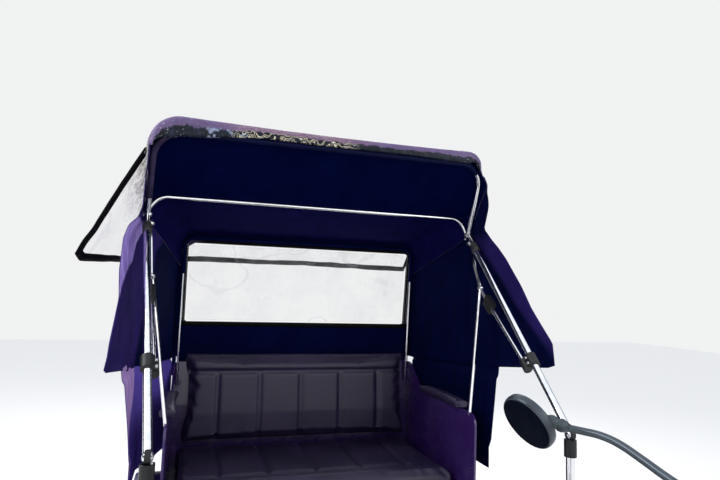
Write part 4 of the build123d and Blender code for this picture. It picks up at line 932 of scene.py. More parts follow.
def skirt_point(sign):
    """Surface function of one skirt, which hangs from its side cover."""

    def point(u, v):
        z = lerp(SKIRT_ROWS[0]["z"], SKIRT_ROWS[-1]["z"], v)
        front = table_at(SKIRT_ROWS, "x", z, "z")
        x = lerp(SKIRT_REAR_X, front, u)
        wall = table_at(COVER_WALL, "left", x)
        hang = table_at(SKIRT_ROWS, "y", z, "z") - SKIRT_ROWS[-1]["y"]
        y = wall + hang * smooth_step((x - SKIRT_REAR_X) / 0.35)
        y += SKIRT_TOP_OUT * smooth_step((z - 1.06) / 0.02)
        pleat = 0.007 * math.sin(x * 21 + 1.7 * sign) * (1 - v) ** 0.7
        pleat += ripple(0.005, x * 8, sign * 4, z * 3)
        return row_point(x, sign * max(wall - 0.035, y + pleat), z)

    return point


for side, sign in (("left", 1), ("right", -1)):
    cover_cloth = [FLAP_SHADED_CLOTH, FLAP_OUTSIDE] if sign > 0 else [FLAP_OUTSIDE, FLAP_LIT]
    cover = sheet_grid(
        "side_cover_" + side, cover_point(sign), (72, 64), COVER_T, cover_cloth, offset=0.0
    )
    skirt_cloth = [FLAP_SHADED_CLOTH, FLAP_OUTSIDE] if sign > 0 else [FLAP_OUTSIDE, SKIRT_LIT]
    skirt = sheet_grid("side_skirt_" + side, skirt_point(sign), (60, 30), COVER_T, skirt_cloth)
    keep_piece(cover, "hood_cloth", "hood_side_" + side)
    keep_piece(skirt, "hood_cloth")


# Clear rain curtain thrown back over the roof, with its black bindings
CURTAIN_ROWS = [
    {"x": -0.430, "z": 1.500, "half": 0.580, "bend": 0.040, "hem_out": 0.100, "hem_z": 1.450},
    {"x": -0.282, "z": 1.630, "half": 0.546, "bend": 0.072, "hem_out": 0.128, "hem_z": 1.482},
    {"x": 0.030, "z": 1.735, "half": 0.668, "bend": 0.088, "hem_out": 0.226, "hem_z": 1.466},
    {"x": 0.219, "z": 1.970, "half": 0.650, "bend": 0.122, "hem_out": 0.322, "hem_z": 1.458},
]
CURTAIN_LEFT_Y = 0.546
CURTAIN_SIDE_LIFT = 0.009
CURTAIN_BINDINGS = [
    {"name": "curtain_binding_front", "u": (-0.002, 0.036), "v": (0.745, 1.001), "counts": (2, 80)},
    {"name": "curtain_binding_back", "u": (0.965, 1.001), "v": (0, 1), "counts": (2, 160)},
    {"name": "curtain_binding_hem", "u": (-0.002, 1), "v": (0.9835, 1.001), "counts": (120, 2)},
    {"name": "curtain_binding_left", "u": (0, 1), "v": (-0.001, 0.010), "counts": (120, 2)},
]


def curtain_section(x, v):
    """Point and normal of the curtain at x; v runs from its left edge to its right hem."""
    row = {key: table_at(CURTAIN_ROWS, key, x) for key in ("z", "half", "bend", "hem_out", "hem_z")}
    out = row["half"] + CURTAIN_SIDE_LIFT
    bend = row["bend"]
    centre_y, centre_z = out - bend, row["z"] - bend
    hem_y, hem_z = BODY_HALF + row["hem_out"], row["hem_z"]
    flat = CURTAIN_LEFT_Y + centre_y
    arc = bend * math.pi / 2
    tail = math.hypot(hem_y - out, hem_z - centre_z)
    run = v * (flat + arc + tail)
    if run < flat:
        return -(run - CURTAIN_LEFT_Y), row["z"], 0.0, 1.0, 0.0
    if run < flat + arc:
        angle = math.pi / 2 - (run - flat) / bend
        y = centre_y + bend * math.cos(angle)
        return -y, centre_z + bend * math.sin(angle), -math.cos(angle), math.sin(angle), 0.0
    share = (run - flat - arc) / tail
    y = lerp(out, hem_y, share)
    facing_y, facing_z = centre_z - hem_z, hem_y - out
    return -y, lerp(centre_z, hem_z, share), -facing_y / tail, facing_z / tail, share


def curtain_point(lift):
    """Surface function of the curtain; u runs from the front bow back and v from left to right."""

    def point(u, v):
        x = lerp(CURTAIN_ROWS[-1]["x"], CURTAIN_ROWS[0]["x"], u)
        blunt = 1 - 0.014 * max(0.0, 1 - u / 0.055) * smooth_step((v - 0.6) / 0.4)
        y, z, ny, nz, wing = curtain_section(x, v * blunt)
        sag = roof_sag(x, nz) if x > REAR_ROW["x"] else 0.0
        behind = smooth_step((REAR_ROW["x"] - x) / 0.08)
        loose = max(wing, behind)
        ruffle = ripple(0.007, x * 7 + z * 3, y * 4, z * 6) + ripple(0.0035, x * 19, y * 15, z * 17)
        rise = front_rise(y) * smooth_step((x - MIDDLE_ROW["x"]) / 0.19) * max(0.0, nz) * (1 - wing)
        near = abs(ripple(0.0015, x * 24, y * 24, 2.0))
        wave = sag + rise + near * (1 - loose) + ruffle * loose + lift
        return row_point(x + 0.5 * ruffle * wing, y + ny * wave, z + nz * wave)

    return point


def strip_of(point, u_range, v_range):
    """Part of a surface function, read as a surface of its own."""

    def strip(u, v):
        return point(lerp(*u_range, u), lerp(*v_range, v))

    return strip


curtain = sheet_grid(
    "rain_curtain_sheet", curtain_point(0.0), (90, 120), CURTAIN_T, [MATERIALS["clear_vinyl"]]
)
for row in CURTAIN_BINDINGS:
    strip = strip_of(curtain_point(0.0004), row["u"], row["v"])
    binding = sheet_grid(row["name"], strip, row["counts"], CURTAIN_TAPE_T, [BINDING], offset=0.0)
    keep_piece(binding, "black_fitting")
keep_piece(curtain, "clear_vinyl", "rain_curtain")


# Cloth sleeves sewn round the bows; the front one also runs down the bow's right leg as painted shade
# over the chrome
KNUCKLE = Vector((0.058, 0.655, 1.642))
FRONT_BOW = {"x": 0.212, "half": 0.634, "top": 1.917, "corner": 0.104, "foot": KNUCKLE}
REAR_FOOT = Vector((-0.325, 0.5235, 0.97))
REAR_BOW = {"x": -0.272, "half": 0.5235, "top": 1.5975, "corner": 0.0475, "foot": REAR_FOOT}


def bow_side(bow, sign, low):
    """Points from the middle of a bow's top round one corner and down its leg to a height."""
    corner = Vector((bow["x"], sign * bow["half"], bow["top"]))
    out = Vector((0, sign, 0))
    foot = Vector((bow["foot"][0], sign * bow["foot"][1], bow["foot"][2]))
    down = (foot - corner).normalized()
    turn = out.angle(down)
    reach = bow["corner"] * math.tan(turn / 2)
    inward = (down - out * down.dot(out)).normalized()
    centre = corner - out * reach + inward * bow["corner"]
    flat = corner.y - out.y * reach
    points = [Vector((bow["x"], share / 10 * flat, bow["top"])) for share in range(10)]
    for step in range(15):
        angle = turn * step / 14
        place = centre - inward * math.cos(angle) * bow["corner"]
        points.append(place + out * math.sin(angle) * bow["corner"])
    points = [point for point in points if point.z >= low]
    if corner.z + down.z * reach > low:
        points.append(corner + down * ((corner.z - low) / -down.z))
    return points


def bow_path(bow, low_right, low_left):
    """Points round a bow's hoop from the right sleeve end to the left one."""
    right, left = bow_side(bow, -1, low_right), bow_side(bow, 1, low_left)
    return [row_point(*point) for point in right[::-1] + left[1:]]


# the front sleeve's long right leg, down to 1.700, is painted shade: a dark tube over the chrome leg
# where it lies in shade
SLEEVES = [
    {"name": "front_bow_sleeve", "bow": FRONT_BOW, "right": 1.700, "left": 1.885, "r": 0.0122},
    {"name": "rear_bow_sleeve", "bow": REAR_BOW, "right": 1.44, "left": 1.44, "r": 0.0078},
]
for row, sleeve_cloth in zip(SLEEVES, (SLEEVE_CLOTH, REAR_LINING)):
    hoop = bow_path(row["bow"], row["right"], row["left"])
    keep_piece(tube_object(row["name"], hoop, row["r"], sleeve_cloth), "hood_cloth")


# Mirror: a round dish turned on its neck, with its back plate and glass
MIRROR_HALF = 0.0525
MIRROR_FACING = Vector((0.155, -0.852, -0.500)).normalized()
MIRROR_DEPTH = 0.0150
MIRROR_SHIFT = Vector((-0.0085, -0.0087, 0.0))
mirror_low, mirror_high = (Vector(corner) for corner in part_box("mirror_head"))
mirror_mid = (mirror_low + mirror_high) / 2 + MIRROR_SHIFT
mirror_side = MIRROR_FACING.cross(Vector((0, 0, 1))).normalized()
mirror_axes = (mirror_side, MIRROR_FACING.cross(mirror_side), MIRROR_FACING)
HALF_DEPTH = MIRROR_DEPTH / 2
dish_rows = [
    (-HALF_DEPTH, MIRROR_HALF - 0.0045),
    (-HALF_DEPTH - 0.0012, MIRROR_HALF - 0.0025),
    (-HALF_DEPTH - 0.0008, MIRROR_HALF - 0.0005),
    (-HALF_DEPTH + 0.0010, MIRROR_HALF),
    (0.0, MIRROR_HALF + 0.0006),
    (HALF_DEPTH - 0.0030, MIRROR_HALF - 0.0004),
    (HALF_DEPTH - 0.0012, MIRROR_HALF - 0.0016),
    (HALF_DEPTH - 0.0004, MIRROR_HALF - 0.0034),
    (HALF_DEPTH - 0.0004, MIRROR_HALF - 0.0060),
]
back_rows = [
    (0.0, MIRROR_HALF - 0.0030),
    (0.0008, MIRROR_HALF - 0.0042),
    (0.0016, MIRROR_HALF * 0.6),
    (0.0020, 0.002),
]
glass_rows = [(0.0, 0.0005), (0.0, MIRROR_HALF - 0.0052), (0.0012, MIRROR_HALF - 0.0048)]
MIRROR_STEPS = 72
dish = lathe("mirror_dish", dish_rows, mirror_mid, mirror_axes, GLOSSY_SHELL, MIRROR_STEPS)
keep_on(dish, "steering", "black_fitting", "mirror_head")
back_at = mirror_mid + MIRROR_FACING * (HALF_DEPTH - 0.0006)
back_plate = lathe("mirror_back", back_rows, back_at, mirror_axes, MATT_BACK, MIRROR_STEPS)
keep_on(back_plate, "steering", "black_fitting")
glass_at = mirror_mid - MIRROR_FACING * (HALF_DEPTH + 0.0012)
glass = lathe(
    "mirror_glass_oval", glass_rows, glass_at, mirror_axes, MATERIALS["mirror_face"], MIRROR_STEPS
)
keep_on(glass, "steering", "mirror_face", "mirror_glass")
STALK_POINTS = [
    (1.310, 0.157, 1.1555),
    (1.320, 0.176, 1.1500),
    (1.340, 0.194, 1.1480),
    (1.366, 0.207, 1.1480),
    (1.399, 0.218, 1.1420),
    (1.443, 0.226, 1.1260),
    (1.485, 0.233, 1.1100),
    (1.530, 0.242, 1.0970),
    (1.566, 0.252, 1.0910),
    (1.590, 0.268, 1.0870),
    (1.601, 0.288, 1.0810),
    (1.6027, 0.304, 1.0720),
]
STALK_R = 0.0066
STALK_CLAMP_AT = 0.130
BAR_BORE = 0.0127
BAR_END = (1.47487, 0.330, 1.06317)
BAR_TOE = math.radians(10.6)
BAR_RISE = 0.0311
NECK_ENDS = (row_point(1.304, 0.146, 1.161), row_point(1.323, 0.181, 1.149))
NECK_ROWS = [
    {"share": 0.0, "mm": 9.0},
    {"share": 0.10, "mm": 11.5},
    {"share": 0.25, "mm": 12.5},
    {"share": 0.38, "mm": 11.0},
    {"share": 0.44, "mm": 9.6},
    {"share": 0.52, "mm": 11.6},
    {"share": 0.66, "mm": 12.0},
    {"share": 0.80, "mm": 10.2},
    {"share": 0.86, "mm": 8.6},
    {"share": 1.0, "mm": 7.0},
]


def grip_frame(sign):
    """End of one side of the bar, the direction along its grip and two across it."""
    along = Vector((math.cos(BAR_TOE), -sign * math.sin(BAR_TOE), BAR_RISE)).normalized()
    side = Vector((0, 0, 1)).cross(along).normalized()
    return row_point(BAR_END[0], sign * BAR_END[1], BAR_END[2]), along, side, along.cross(side)


stalk_path = [row_point(*point) for point in STALK_POINTS]
stalk = tube_object("mirror_stalk_tube", stalk_path, STALK_R, GLOSSY_SHELL)
keep_on(stalk, "steering", "black_fitting", "mirror_stalk")
end, along, side, upright = grip_frame(1)
clamp = lathe(
    "stalk_clamp",
    collar_rows(-0.012, 0.012, BAR_BORE, 0.0205),
    end + along * STALK_CLAMP_AT,
    (side, upright, along),
    MATERIALS["black_fitting"],
    40,
)
keep_on(clamp, "steering", "black_fitting")
neck_run = NECK_ENDS[1] - NECK_ENDS[0]
neck_side = neck_run.cross(Vector((0, 0, 1)))
neck_rows = [(row["share"] * neck_run.length, row["mm"] / 1000) for row in NECK_ROWS]
neck_axes = (neck_side, neck_run.cross(neck_side), neck_run)
neck = lathe("mirror_neck", neck_rows, NECK_ENDS[0], neck_axes, GLOSSY_SHELL, 40)
keep_on(neck, "steering", "black_fitting")


# Tyres with moulded tread blocks; edges and grooves are angles round the tyre's section
RIM_SEAT_R = WHEEL_R - 0.046
TREAD_BLOCKS = 150
TREAD_DEPTH = 0.0024
TREAD_EDGE = 1.15
TREAD_MIDDLE = 0.2
BLOCK_SLANT = 0.9
BLOCK_GAP = 0.28
TREAD_GROOVES = ((0.12, 0.24), (0.62, 0.74))
BEAD_EDGE = 2.0
BEAD_INSET = 0.0012


def make_tyre(name, cad_name, body):
    """Tyre with grooves and staggered blocks, open towards the rim."""
    low, high = (Vector(corner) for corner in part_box(cad_name))
    centre = (low + high) / 2
    tube = TYRE_W / 2
    seat_angle = math.acos((RIM_SEAT_R + 0.0003 - (WHEEL_R - tube)) / tube)
    around, across = TREAD_BLOCKS * 4, 30
    verts = []
    for i in range(around):
        turn = i / around
        for j in range(across + 1):
            angle = lerp(-seat_angle, seat_angle, j / across)
            size = abs(angle)
            radius = tube
            if size < TREAD_EDGE:
                phase = (turn * TREAD_BLOCKS + size * BLOCK_SLANT) % 1.0
                ringed = any(start < size < end for start, end in TREAD_GROOVES)
                parted = phase < BLOCK_GAP and size > TREAD_MIDDLE
                radius -= TREAD_DEPTH if ringed or parted else 0
            elif size > BEAD_EDGE:
                radius -= BEAD_INSET
            reach = WHEEL_R - tube + radius * math.cos(angle)
            place = 2 * math.pi * turn
            side = radius * math.sin(angle)
            verts.append(centre + Vector((reach * math.cos(place), side, reach * math.sin(place))))
    faces = []
    row = across + 1
    for i in range(around):
        here, after = i * row, (i + 1) % around * row
        for j in range(across):
            faces.append((here + j, after + j, after + j + 1, here + j + 1))
        faces.append((here + across, after + across, after, here))
    obj = mesh_object(name, verts, faces, [MATERIALS["tyre_rubber"]], smooth=False)
    return keep_on(obj, body, "tyre_rubber", cad_name)


make_tyre("front_tyre_tread", "front_tyre", "front_wheel_body")
for side in ("left", "right"):
    make_tyre("rear_tyre_tread_" + side, "rear_tyre_" + side, "rear_wheel_body_" + side)


# Small parts made of plain boxes and prisms, joined into one mesh for each kind


class Parts:
    """Vertices and faces of many small solids."""

    def __init__(self):
        self.verts = []
        self.faces = []

    def prism(self, outline, start, end):
        """Solid between two copies of a flat outline, moved to two places."""
        count = len(outline)
        lower = len(self.verts)
        upper = lower + count
        for place in (start, end):
            self.verts += [Vector(place) + Vector(point) for point in outline]
        self.faces.append(tuple(range(lower, upper))[::-1])
        self.faces.append(tuple(range(upper, upper + count)))
        for index in range(count):
            after = (index + 1) % count
            self.faces.append((lower + index, lower + after, upper + after, upper + index))

    def bolt(self, place, axis, radius, length, sides=6):
        """Hexagon head or round pin, standing on a surface."""
        axis = Vector(axis).normalized()
        side = axis.orthogonal().normalized()
        other = axis.cross(side)
        outline = []
        for index in range(sides):
            angle = 2 * math.pi * index / sides
            outline.append((side * math.cos(angle) + other * math.sin(angle)) * radius)
        self.prism(outline, Vector(place), Vector(place) + axis * length)

    def build(self, name, material):
        return mesh_object(name, self.verts, self.faces, [material], smooth=False)


# Chain of links in the place of the plain CAD band
CHAIN_PITCH = 0.0127
CHAIN_Y = -0.060
CHAIN_PIN_R = 0.0018
CHAIN_PIN_LEN = 0.0090
LINK_T = 0.0010
LINK_INNER = 0.0022
LINK_OUTER = 0.0034
HALF_PITCH = CHAIN_PITCH / 2
LINK_PLATE = [
    {"along": -1.32 * HALF_PITCH, "up": 0.0},
    {"along": -1.10 * HALF_PITCH, "up": 0.0036},
    {"along": -0.75 * HALF_PITCH, "up": 0.0042},
    {"along": 0.0, "up": 0.0029},
    {"along": 0.75 * HALF_PITCH, "up": 0.0042},
    {"along": 1.10 * HALF_PITCH, "up": 0.0036},
    {"along": 1.32 * HALF_PITCH, "up": 0.0},
]
SPROCKET = {"x": 0.0, "z": 0.330, "teeth": 24}
RING = {"x": 1.320, "z": 0.300, "teeth": 36}
for wheel in (SPROCKET, RING):
    wheel["r"] = CHAIN_PITCH / 2 / math.sin(math.pi / wheel["teeth"])


def wheel_point(wheel, angle):
    return wheel["x"] + wheel["r"] * math.cos(angle), wheel["z"] + wheel["r"] * math.sin(angle)


def chain_path():
    """Points one pitch apart along the chain's pitch line, closed."""
    run_x, run_z = RING["x"] - SPROCKET["x"], RING["z"] - SPROCKET["z"]
    between = math.hypot(run_x, run_z)
    tilt = math.atan2(run_z, run_x)
    off = math.asin((RING["r"] - SPROCKET["r"]) / between)
    upper, lower = tilt + math.pi / 2 + off, tilt - math.pi / 2 - off
    points = [wheel_point(RING, lerp(upper, lower, step / 48)) for step in range(49)]
    for step in range(33):
        points.append(wheel_point(SPROCKET, lerp(lower, upper - 2 * math.pi, step / 32)))
    points.append(points[0])
    runs = [math.dist(a, b) for a, b in zip(points, points[1:])]
    count = 2 * round(sum(runs) / CHAIN_PITCH / 2)
    pitch = sum(runs) / count
    placed = []
    index, gone = 0, 0.0
    for step in range(count):
        goal = step * pitch
        while gone + runs[index] < goal:
            gone += runs[index]
            index += 1
        here, after = points[index], points[index + 1]
        share = (goal - gone) / runs[index]
        placed.append((lerp(here[0], after[0], share), lerp(here[1], after[1], share)))
    return placed


links = Parts()
pins = chain_path()
for index, here in enumerate(pins):
    after = pins[(index + 1) % len(pins)]
    along = Vector((after[0] - here[0], 0, after[1] - here[1])).normalized()
    up = Vector((-along.z, 0, along.x))
    middle = row_point((here[0] + after[0]) / 2, CHAIN_Y, (here[1] + after[1]) / 2)
    inset = LINK_INNER if index % 2 else LINK_OUTER
    outline = [along * row["along"] + up * row["up"] for row in LINK_PLATE]
    outline += [along * row["along"] - up * row["up"] for row in LINK_PLATE[-2:0:-1]]
    for sign in (-1, 1):
        start = middle + Vector((0, sign * inset, 0))
        links.prism(outline, start, start + Vector((0, sign * LINK_T, 0)))
    pin_start = row_point(here[0], CHAIN_Y - CHAIN_PIN_LEN / 2, here[1])
    links.bolt(pin_start, (0, 1, 0), CHAIN_PIN_R, CHAIN_PIN_LEN, 8)
keep_piece(links.build("chain_links", MATERIALS["chain_steel"]), "chain_steel", "chain")


# Raised lozenges rolled into the floor plate
lozenges = Parts()
floor_low, floor_high = (Vector(corner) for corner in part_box("floor_plate"))
LOZENGE_PITCH = 0.030
LOZENGE_HALF_LEN = 0.0105
LOZENGE_HALF_W = 0.0032
LOZENGE_SUNK = 0.0003
LOZENGE_RAISED = 0.0010
FLOOR_START = (0.035, 0.045)
FLOOR_SPARE = (0.06, 0.08)
columns = int((floor_high.x - floor_low.x - FLOOR_SPARE[0]) / LOZENGE_PITCH)
rows = int((floor_high.y - floor_low.y - FLOOR_SPARE[1]) / LOZENGE_PITCH)
for i in range(columns):
    for j in range(rows):
        x = floor_low.x + FLOOR_START[0] + LOZENGE_PITCH * (i + 0.5)
        y = floor_low.y + FLOOR_START[1] + LOZENGE_PITCH * (j + 0.5)
        turn = math.radians(45 if (i + j) % 2 else -45)
        long_way = Vector((math.cos(turn), math.sin(turn), 0)) * LOZENGE_HALF_LEN
        wide_way = Vector((-math.sin(turn), math.cos(turn), 0)) * LOZENGE_HALF_W
        outline = [long_way, wide_way, -long_way, -wide_way]
        low, high = floor_high.z - LOZENGE_SUNK, floor_high.z + LOZENGE_RAISED
        lozenges.prism(outline, (x, y, low), (x, y, high))
keep_piece(lozenges.build("floor_lozenges", MATERIALS["floor_plate"]), "floor_plate")


# Ribbed grips
GRIP_LEN = 0.120
GRIP_RIBS = 22
GRIP_LIP = 0.0170
RIB_LOW = 0.0152
RIB_HIGH = 0.0163
step = (GRIP_LEN - 0.020) / GRIP_RIBS
grip_rows = [(-0.006, 0.002), (-0.006, 0.0155), (-0.0045, GRIP_LIP), (0.002, GRIP_LIP)]
grip_rows.append((0.004, 0.0158))
for rib in range(GRIP_RIBS):
    start = 0.006 + step * rib
    for share, radius in ((0, RIB_LOW), (0.25, RIB_HIGH), (0.65, RIB_HIGH), (0.9, RIB_LOW)):
        grip_rows.append((start + step * share, radius))
for short, radius in ((0.012, 0.0165), (0.0075, GRIP_LIP), (0.006, 0.0150), (0.006, BAR_BORE)):
    grip_rows.append((GRIP_LEN - short, radius))
for sign, side_name in ((1, "left"), (-1, "right")):
    end, along, side, upright = grip_frame(sign)
    axes = (side, upright, along)
    grip = lathe("grip_" + side_name, grip_rows, end, axes, MATERIALS["grip_rubber"], 40)
    keep_on(grip, "steering", "grip_rubber", *(["grips"] if sign > 0 else []))


# Cushions swollen by cloth simulation, with sewn channels pressed in afterwards
CUSHION_PRESSURE = 4.0
CUSHION_FRAMES = 20
CUSHION_SINK = 0.0005
CUSHION_RISE = (0.004, 0.0, 0.006)
SEAM_YS = (-0.355, -0.178, 0.0, 0.178, 0.355)
SEAM_HALF = 0.009
SEAM_DEPTH = 0.010
SEAT_CROSS_X = 0.130
BACK_CROSS_Z = 1.030
PIPING_HALF = 0.0022
PIPING_DEPTH = 0.0018
PAD_EDGE_Z = 0.958
SADDLE_EDGE_Z = 0.922


def applied(obj):
    """Replace a piece's mesh by what its modifiers make of it."""
    graph = bpy.context.evaluated_depsgraph_get()
    mesh = bpy.data.meshes.new_from_object(obj.evaluated_get(graph))
    obj.modifiers.clear()
    obj.data = mesh
    return obj


def mesh_points(mesh):
    points = np.empty(len(mesh.vertices) * 3, dtype=np.float64)
    mesh.vertices.foreach_get("co", points)
    return points.reshape(-1, 3)


def swollen(name, cad_name, voxel, shrink, cap, material):
    """Copy of a plain CAD cushion, blown up from a smaller start and kept in its own space."""
    cad = frame["nodes"][cad_name]
    mesh = cad.data.copy()
    mesh.transform(cad.matrix_world)
    mesh.materials.clear()
    obj = linked(name, mesh)
    remesh = obj.modifiers.new("remesh", "REMESH")
    remesh.mode = "VOXEL"
    remesh.voxel_size = voxel
    inward = obj.modifiers.new("inward", "DISPLACE")
    inward.strength = -shrink
    inward.mid_level = 0.0
    even = obj.modifiers.new("even", "SMOOTH")
    even.iterations = 6
    applied(obj)
    start = mesh_points(obj.data)
    cloth = obj.modifiers.new("cloth", "CLOTH")
    cloth.settings.quality = 4
    cloth.settings.use_pressure = True
    cloth.settings.uniform_pressure_force = CUSHION_PRESSURE
    cloth.settings.effector_weights.gravity = 0
    for step in range(1, CUSHION_FRAMES + 1):
        bpy.context.scene.frame_set(step)
    applied(obj)
    bpy.context.scene.frame_set(1)
    end = mesh_points(obj.data)
    move = end - start
    far = np.linalg.norm(move, axis=1, keepdims=True)
    end = start + move * np.minimum(1.0, cap / np.maximum(far, 1e-9))
    low, high = (np.array(corner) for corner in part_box(cad_name))
    end = np.clip(end, low + CUSHION_SINK, high + np.array(CUSHION_RISE))
    obj.data.vertices.foreach_set("co", end.reshape(-1))
    obj.data.materials.append(material)
    for polygon in obj.data.polygons:
        polygon.use_smooth = True
    return obj


def press_seams(obj, depth_at):
    """Push points inwards along their normals by a depth that depends on their place."""
    points = mesh_points(obj.data)
    normals = np.array([tuple(vertex.normal) for vertex in obj.data.vertices])
    place = points - np.array(SHIFT)
    depth = depth_at(place, normals)
    obj.data.vertices.foreach_set("co", (points - normals * depth[:, None]).reshape(-1))
    obj.data.update()


def groove(distance, width, depth):
    return depth * np.exp(-((distance / width) ** 2))


def channels(place, axis, cross_at):
    """Depth of one seam across a cushion, and of the lengthwise ones that end at it."""
    total = groove(place[:, axis] - cross_at, SEAM_HALF, SEAM_DEPTH)
    short = place[:, axis] < cross_at
    for seam in SEAM_YS:
        total = np.maximum(total, groove(place[:, 1] - seam, SEAM_HALF, SEAM_DEPTH) * short)
    return total


def seat_depth(place, normals):
    top = np.clip(normals[:, 2] * 1.6 - 0.4, 0, 1) + np.clip(normals[:, 0] * 1.6 - 0.4, 0, 1)
    return channels(place, 0, SEAT_CROSS_X) * np.clip(top, 0, 1)


def back_depth(place, normals):
    return channels(place, 2, BACK_CROSS_Z) * np.clip(normals[:, 0] * 1.6 - 0.2, 0, 1)


def piping(place, normals, height):
    """Line round the edge of a pad at a height."""
    line = groove(np.abs(place[:, 2] - height), PIPING_HALF, PIPING_DEPTH)
    return line * (np.abs(normals[:, 2]) < 0.6)


def pad_depth(place, normals):
    return piping(place, normals, PAD_EDGE_Z)


def saddle_depth(place, normals):
    return piping(place, normals, SADDLE_EDGE_Z)


CUSHIONS = [
    {"name": "seat_cushion_soft", "cad": "seat_cushion", "size": "large", "depth": seat_depth},
    {"name": "backrest_soft", "cad": "backrest_cushion", "size": "large", "depth": back_depth},
    {"name": "armrest_soft", "cad": "armrest_pads", "size": "small", "depth": pad_depth},
    {"name": "saddle_soft", "cad": "saddle", "size": "small", "depth": saddle_depth},
]
CUSHION_SIZES = {
    "large": {"voxel": 0.008, "shrink": 0.008, "cap": 0.024, "fill": 0.8},
    "small": {"voxel": 0.004, "shrink": 0.003, "cap": 0.006, "fill": 0.9},
}
for row in CUSHIONS:
    size = CUSHION_SIZES[row["size"]]
    slot = slots[row["cad"]]
    cushion = swollen(
        row["name"], row["cad"], size["voxel"], size["shrink"], size["cap"], MATERIALS[slot]
    )
    press_seams(cushion, row["depth"])
    keep_piece(cushion, slot, row["cad"])


# Stitches along the window's binding
stitches = Parts()
STITCH_PITCH = 0.0125
STITCH_LEN = 0.0065
STITCH_W = 0.0022
STITCH_T = 0.0012
STITCH_OFF = 0.0016
STITCH_LINES = (0.004, 0.015)
CORNERS = ((-1, -1), (1, -1), (1, 1), (-1, 1))
STITCH_OUTLINE = [(0, across * STITCH_W / 2, up * STITCH_LEN / 2) for across, up in CORNERS]
for side in (-1, 1):
    for line in STITCH_LINES:
        for index in range(int((WINDOW_TOP_Z - WINDOW_LOW_Z) / STITCH_PITCH)):
            z = WINDOW_LOW_Z + STITCH_PITCH * (index + 0.5)
            start = row_point(lean_x(z) + STITCH_OFF, side * (WINDOW_HALF + line), z)
            stitches.prism(STITCH_OUTLINE, start, start + Vector((STITCH_T, 0, 0)))
keep_piece(stitches.build("window_stitches", THREAD), "hood_cloth")


# Bolts and pins of the hood's fittings, and the black sleeves on the struts
STRUT_FOOT = Vector((0.851, 0.551, 1.005))
STRUT_DIR = (STRUT_FOOT - KNUCKLE).normalized()
STRUT_BACK = Vector((STRUT_DIR.z, 0, -STRUT_DIR.x)).normalized()
LINK_ROWS = [
    {"along": 0.062, "behind": 0.0},
    {"along": 0.288, "behind": 0.064},
    {"along": 0.395, "behind": 0.057},
]
SLEEVE_AT = (0.066, 0.116)
SLEEVE_BORE = 0.0112
SLEEVE_R = 0.0160
LINK_INSET = 0.015
LINK_PIN_HALF = 0.009
LINK_PIN_R = 0.0065
KNUCKLE_PIN_HALF = 0.0165
FOOT_PIN_HALF = 0.0115
STRUT_PIN_R = 0.008
CLAMP_AT = 0.725
CLAMP_FACE = 0.0195
CLAMP_BOLT_OFF = 0.011
CLAMP_BOLT_R = 0.0052
CLAMP_BOLT_H = 0.006
fittings = Parts()


def both_sides(point):
    """A point on the vehicle's left and its mirror image, each with its sign."""
    for sign in (1, -1):
        yield sign, row_point(point[0], sign * point[1], point[2])


def cross_pin(point, half, radius):
    """Hexagon pin across the vehicle through a point, on both sides."""
    for sign, place in both_sides(point):
        fittings.bolt(place - Vector((0, sign * half, 0)), (0, sign, 0), radius, 2 * half)


for row in LINK_ROWS:
    behind = STRUT_BACK * row["behind"] - Vector((0, LINK_INSET, 0))
    cross_pin(KNUCKLE + STRUT_DIR * row["along"] + behind, LINK_PIN_HALF, LINK_PIN_R)
cross_pin(KNUCKLE, KNUCKLE_PIN_HALF, STRUT_PIN_R)
cross_pin(STRUT_FOOT, FOOT_PIN_HALF, STRUT_PIN_R)
clamp_mid = KNUCKLE + (STRUT_FOOT - KNUCKLE) * CLAMP_AT
for shift in (-CLAMP_BOLT_OFF, CLAMP_BOLT_OFF):
    point = clamp_mid + STRUT_DIR * shift - Vector((0, CLAMP_FACE, 0))
    for sign, place in both_sides(point):
        fittings.bolt(place, (0, -sign, 0), CLAMP_BOLT_R, CLAMP_BOLT_H)
keep_piece(fittings.build("hood_bolts", MATERIALS["axle_steel"]), "axle_steel")
for sign, name in ((1, "strut_sleeve_left"), (-1, "strut_sleeve_right")):
    along = Vector((STRUT_DIR.x, sign * STRUT_DIR.y, STRUT_DIR.z))
    upright = along.cross(Vector((0, 1, 0))).normalized()
    first = row_point(KNUCKLE.x, sign * KNUCKLE.y, KNUCKLE.z) + along * SLEEVE_AT[0]
    rows = collar_rows(0.0, SLEEVE_AT[1] - SLEEVE_AT[0], SLEEVE_BORE, SLEEVE_R)
    axes = (upright.cross(along), upright, along)
    sleeve = lathe(name, rows, first, axes, MATERIALS["grip_rubber"], 36)
    keep_piece(sleeve, "grip_rubber")


# Headlight lens
lamp_low, lamp_high = (Vector(corner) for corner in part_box("headlight"))


def lens_material(name, color, through):
    look = new_look(name)
    look.shade(Base_Color=color, Roughness=0.08, Coat_Weight=1.0, Transmission_Weight=through)
    rings = look.wave(look.coordinates(), wave_type="RINGS", rings_direction="X", Scale=38.0)
    look.bump(rings, 0.3, 0.001)
    return look.owner


LAMP_R = 0.038
LENS_BEHIND = 0.0065
lamp_y = (lamp_low.y + lamp_high.y) / 2
lamp_centre = Vector((lamp_high.x - LENS_BEHIND, lamp_y, lamp_high.z - LAMP_R))
lens_rows = [
    (0.0, 0.0005),
    (0.0, 0.0338),
    (0.0020, 0.0338),
    (0.0042, 0.0260),
    (0.0056, 0.0120),
    (0.0060, 0.0005),
]
lens_axes = ((0, 1, 0), (0, 0, 1), (1, 0, 0))
lamp_glass = lens_material("lamp_glass", (0.85, 0.87, 0.9), 0.25)
lens = lathe("headlight_lens", lens_rows, lamp_centre, lens_axes, lamp_glass, 48)
keep_on(lens, "steering", "mirror_face")


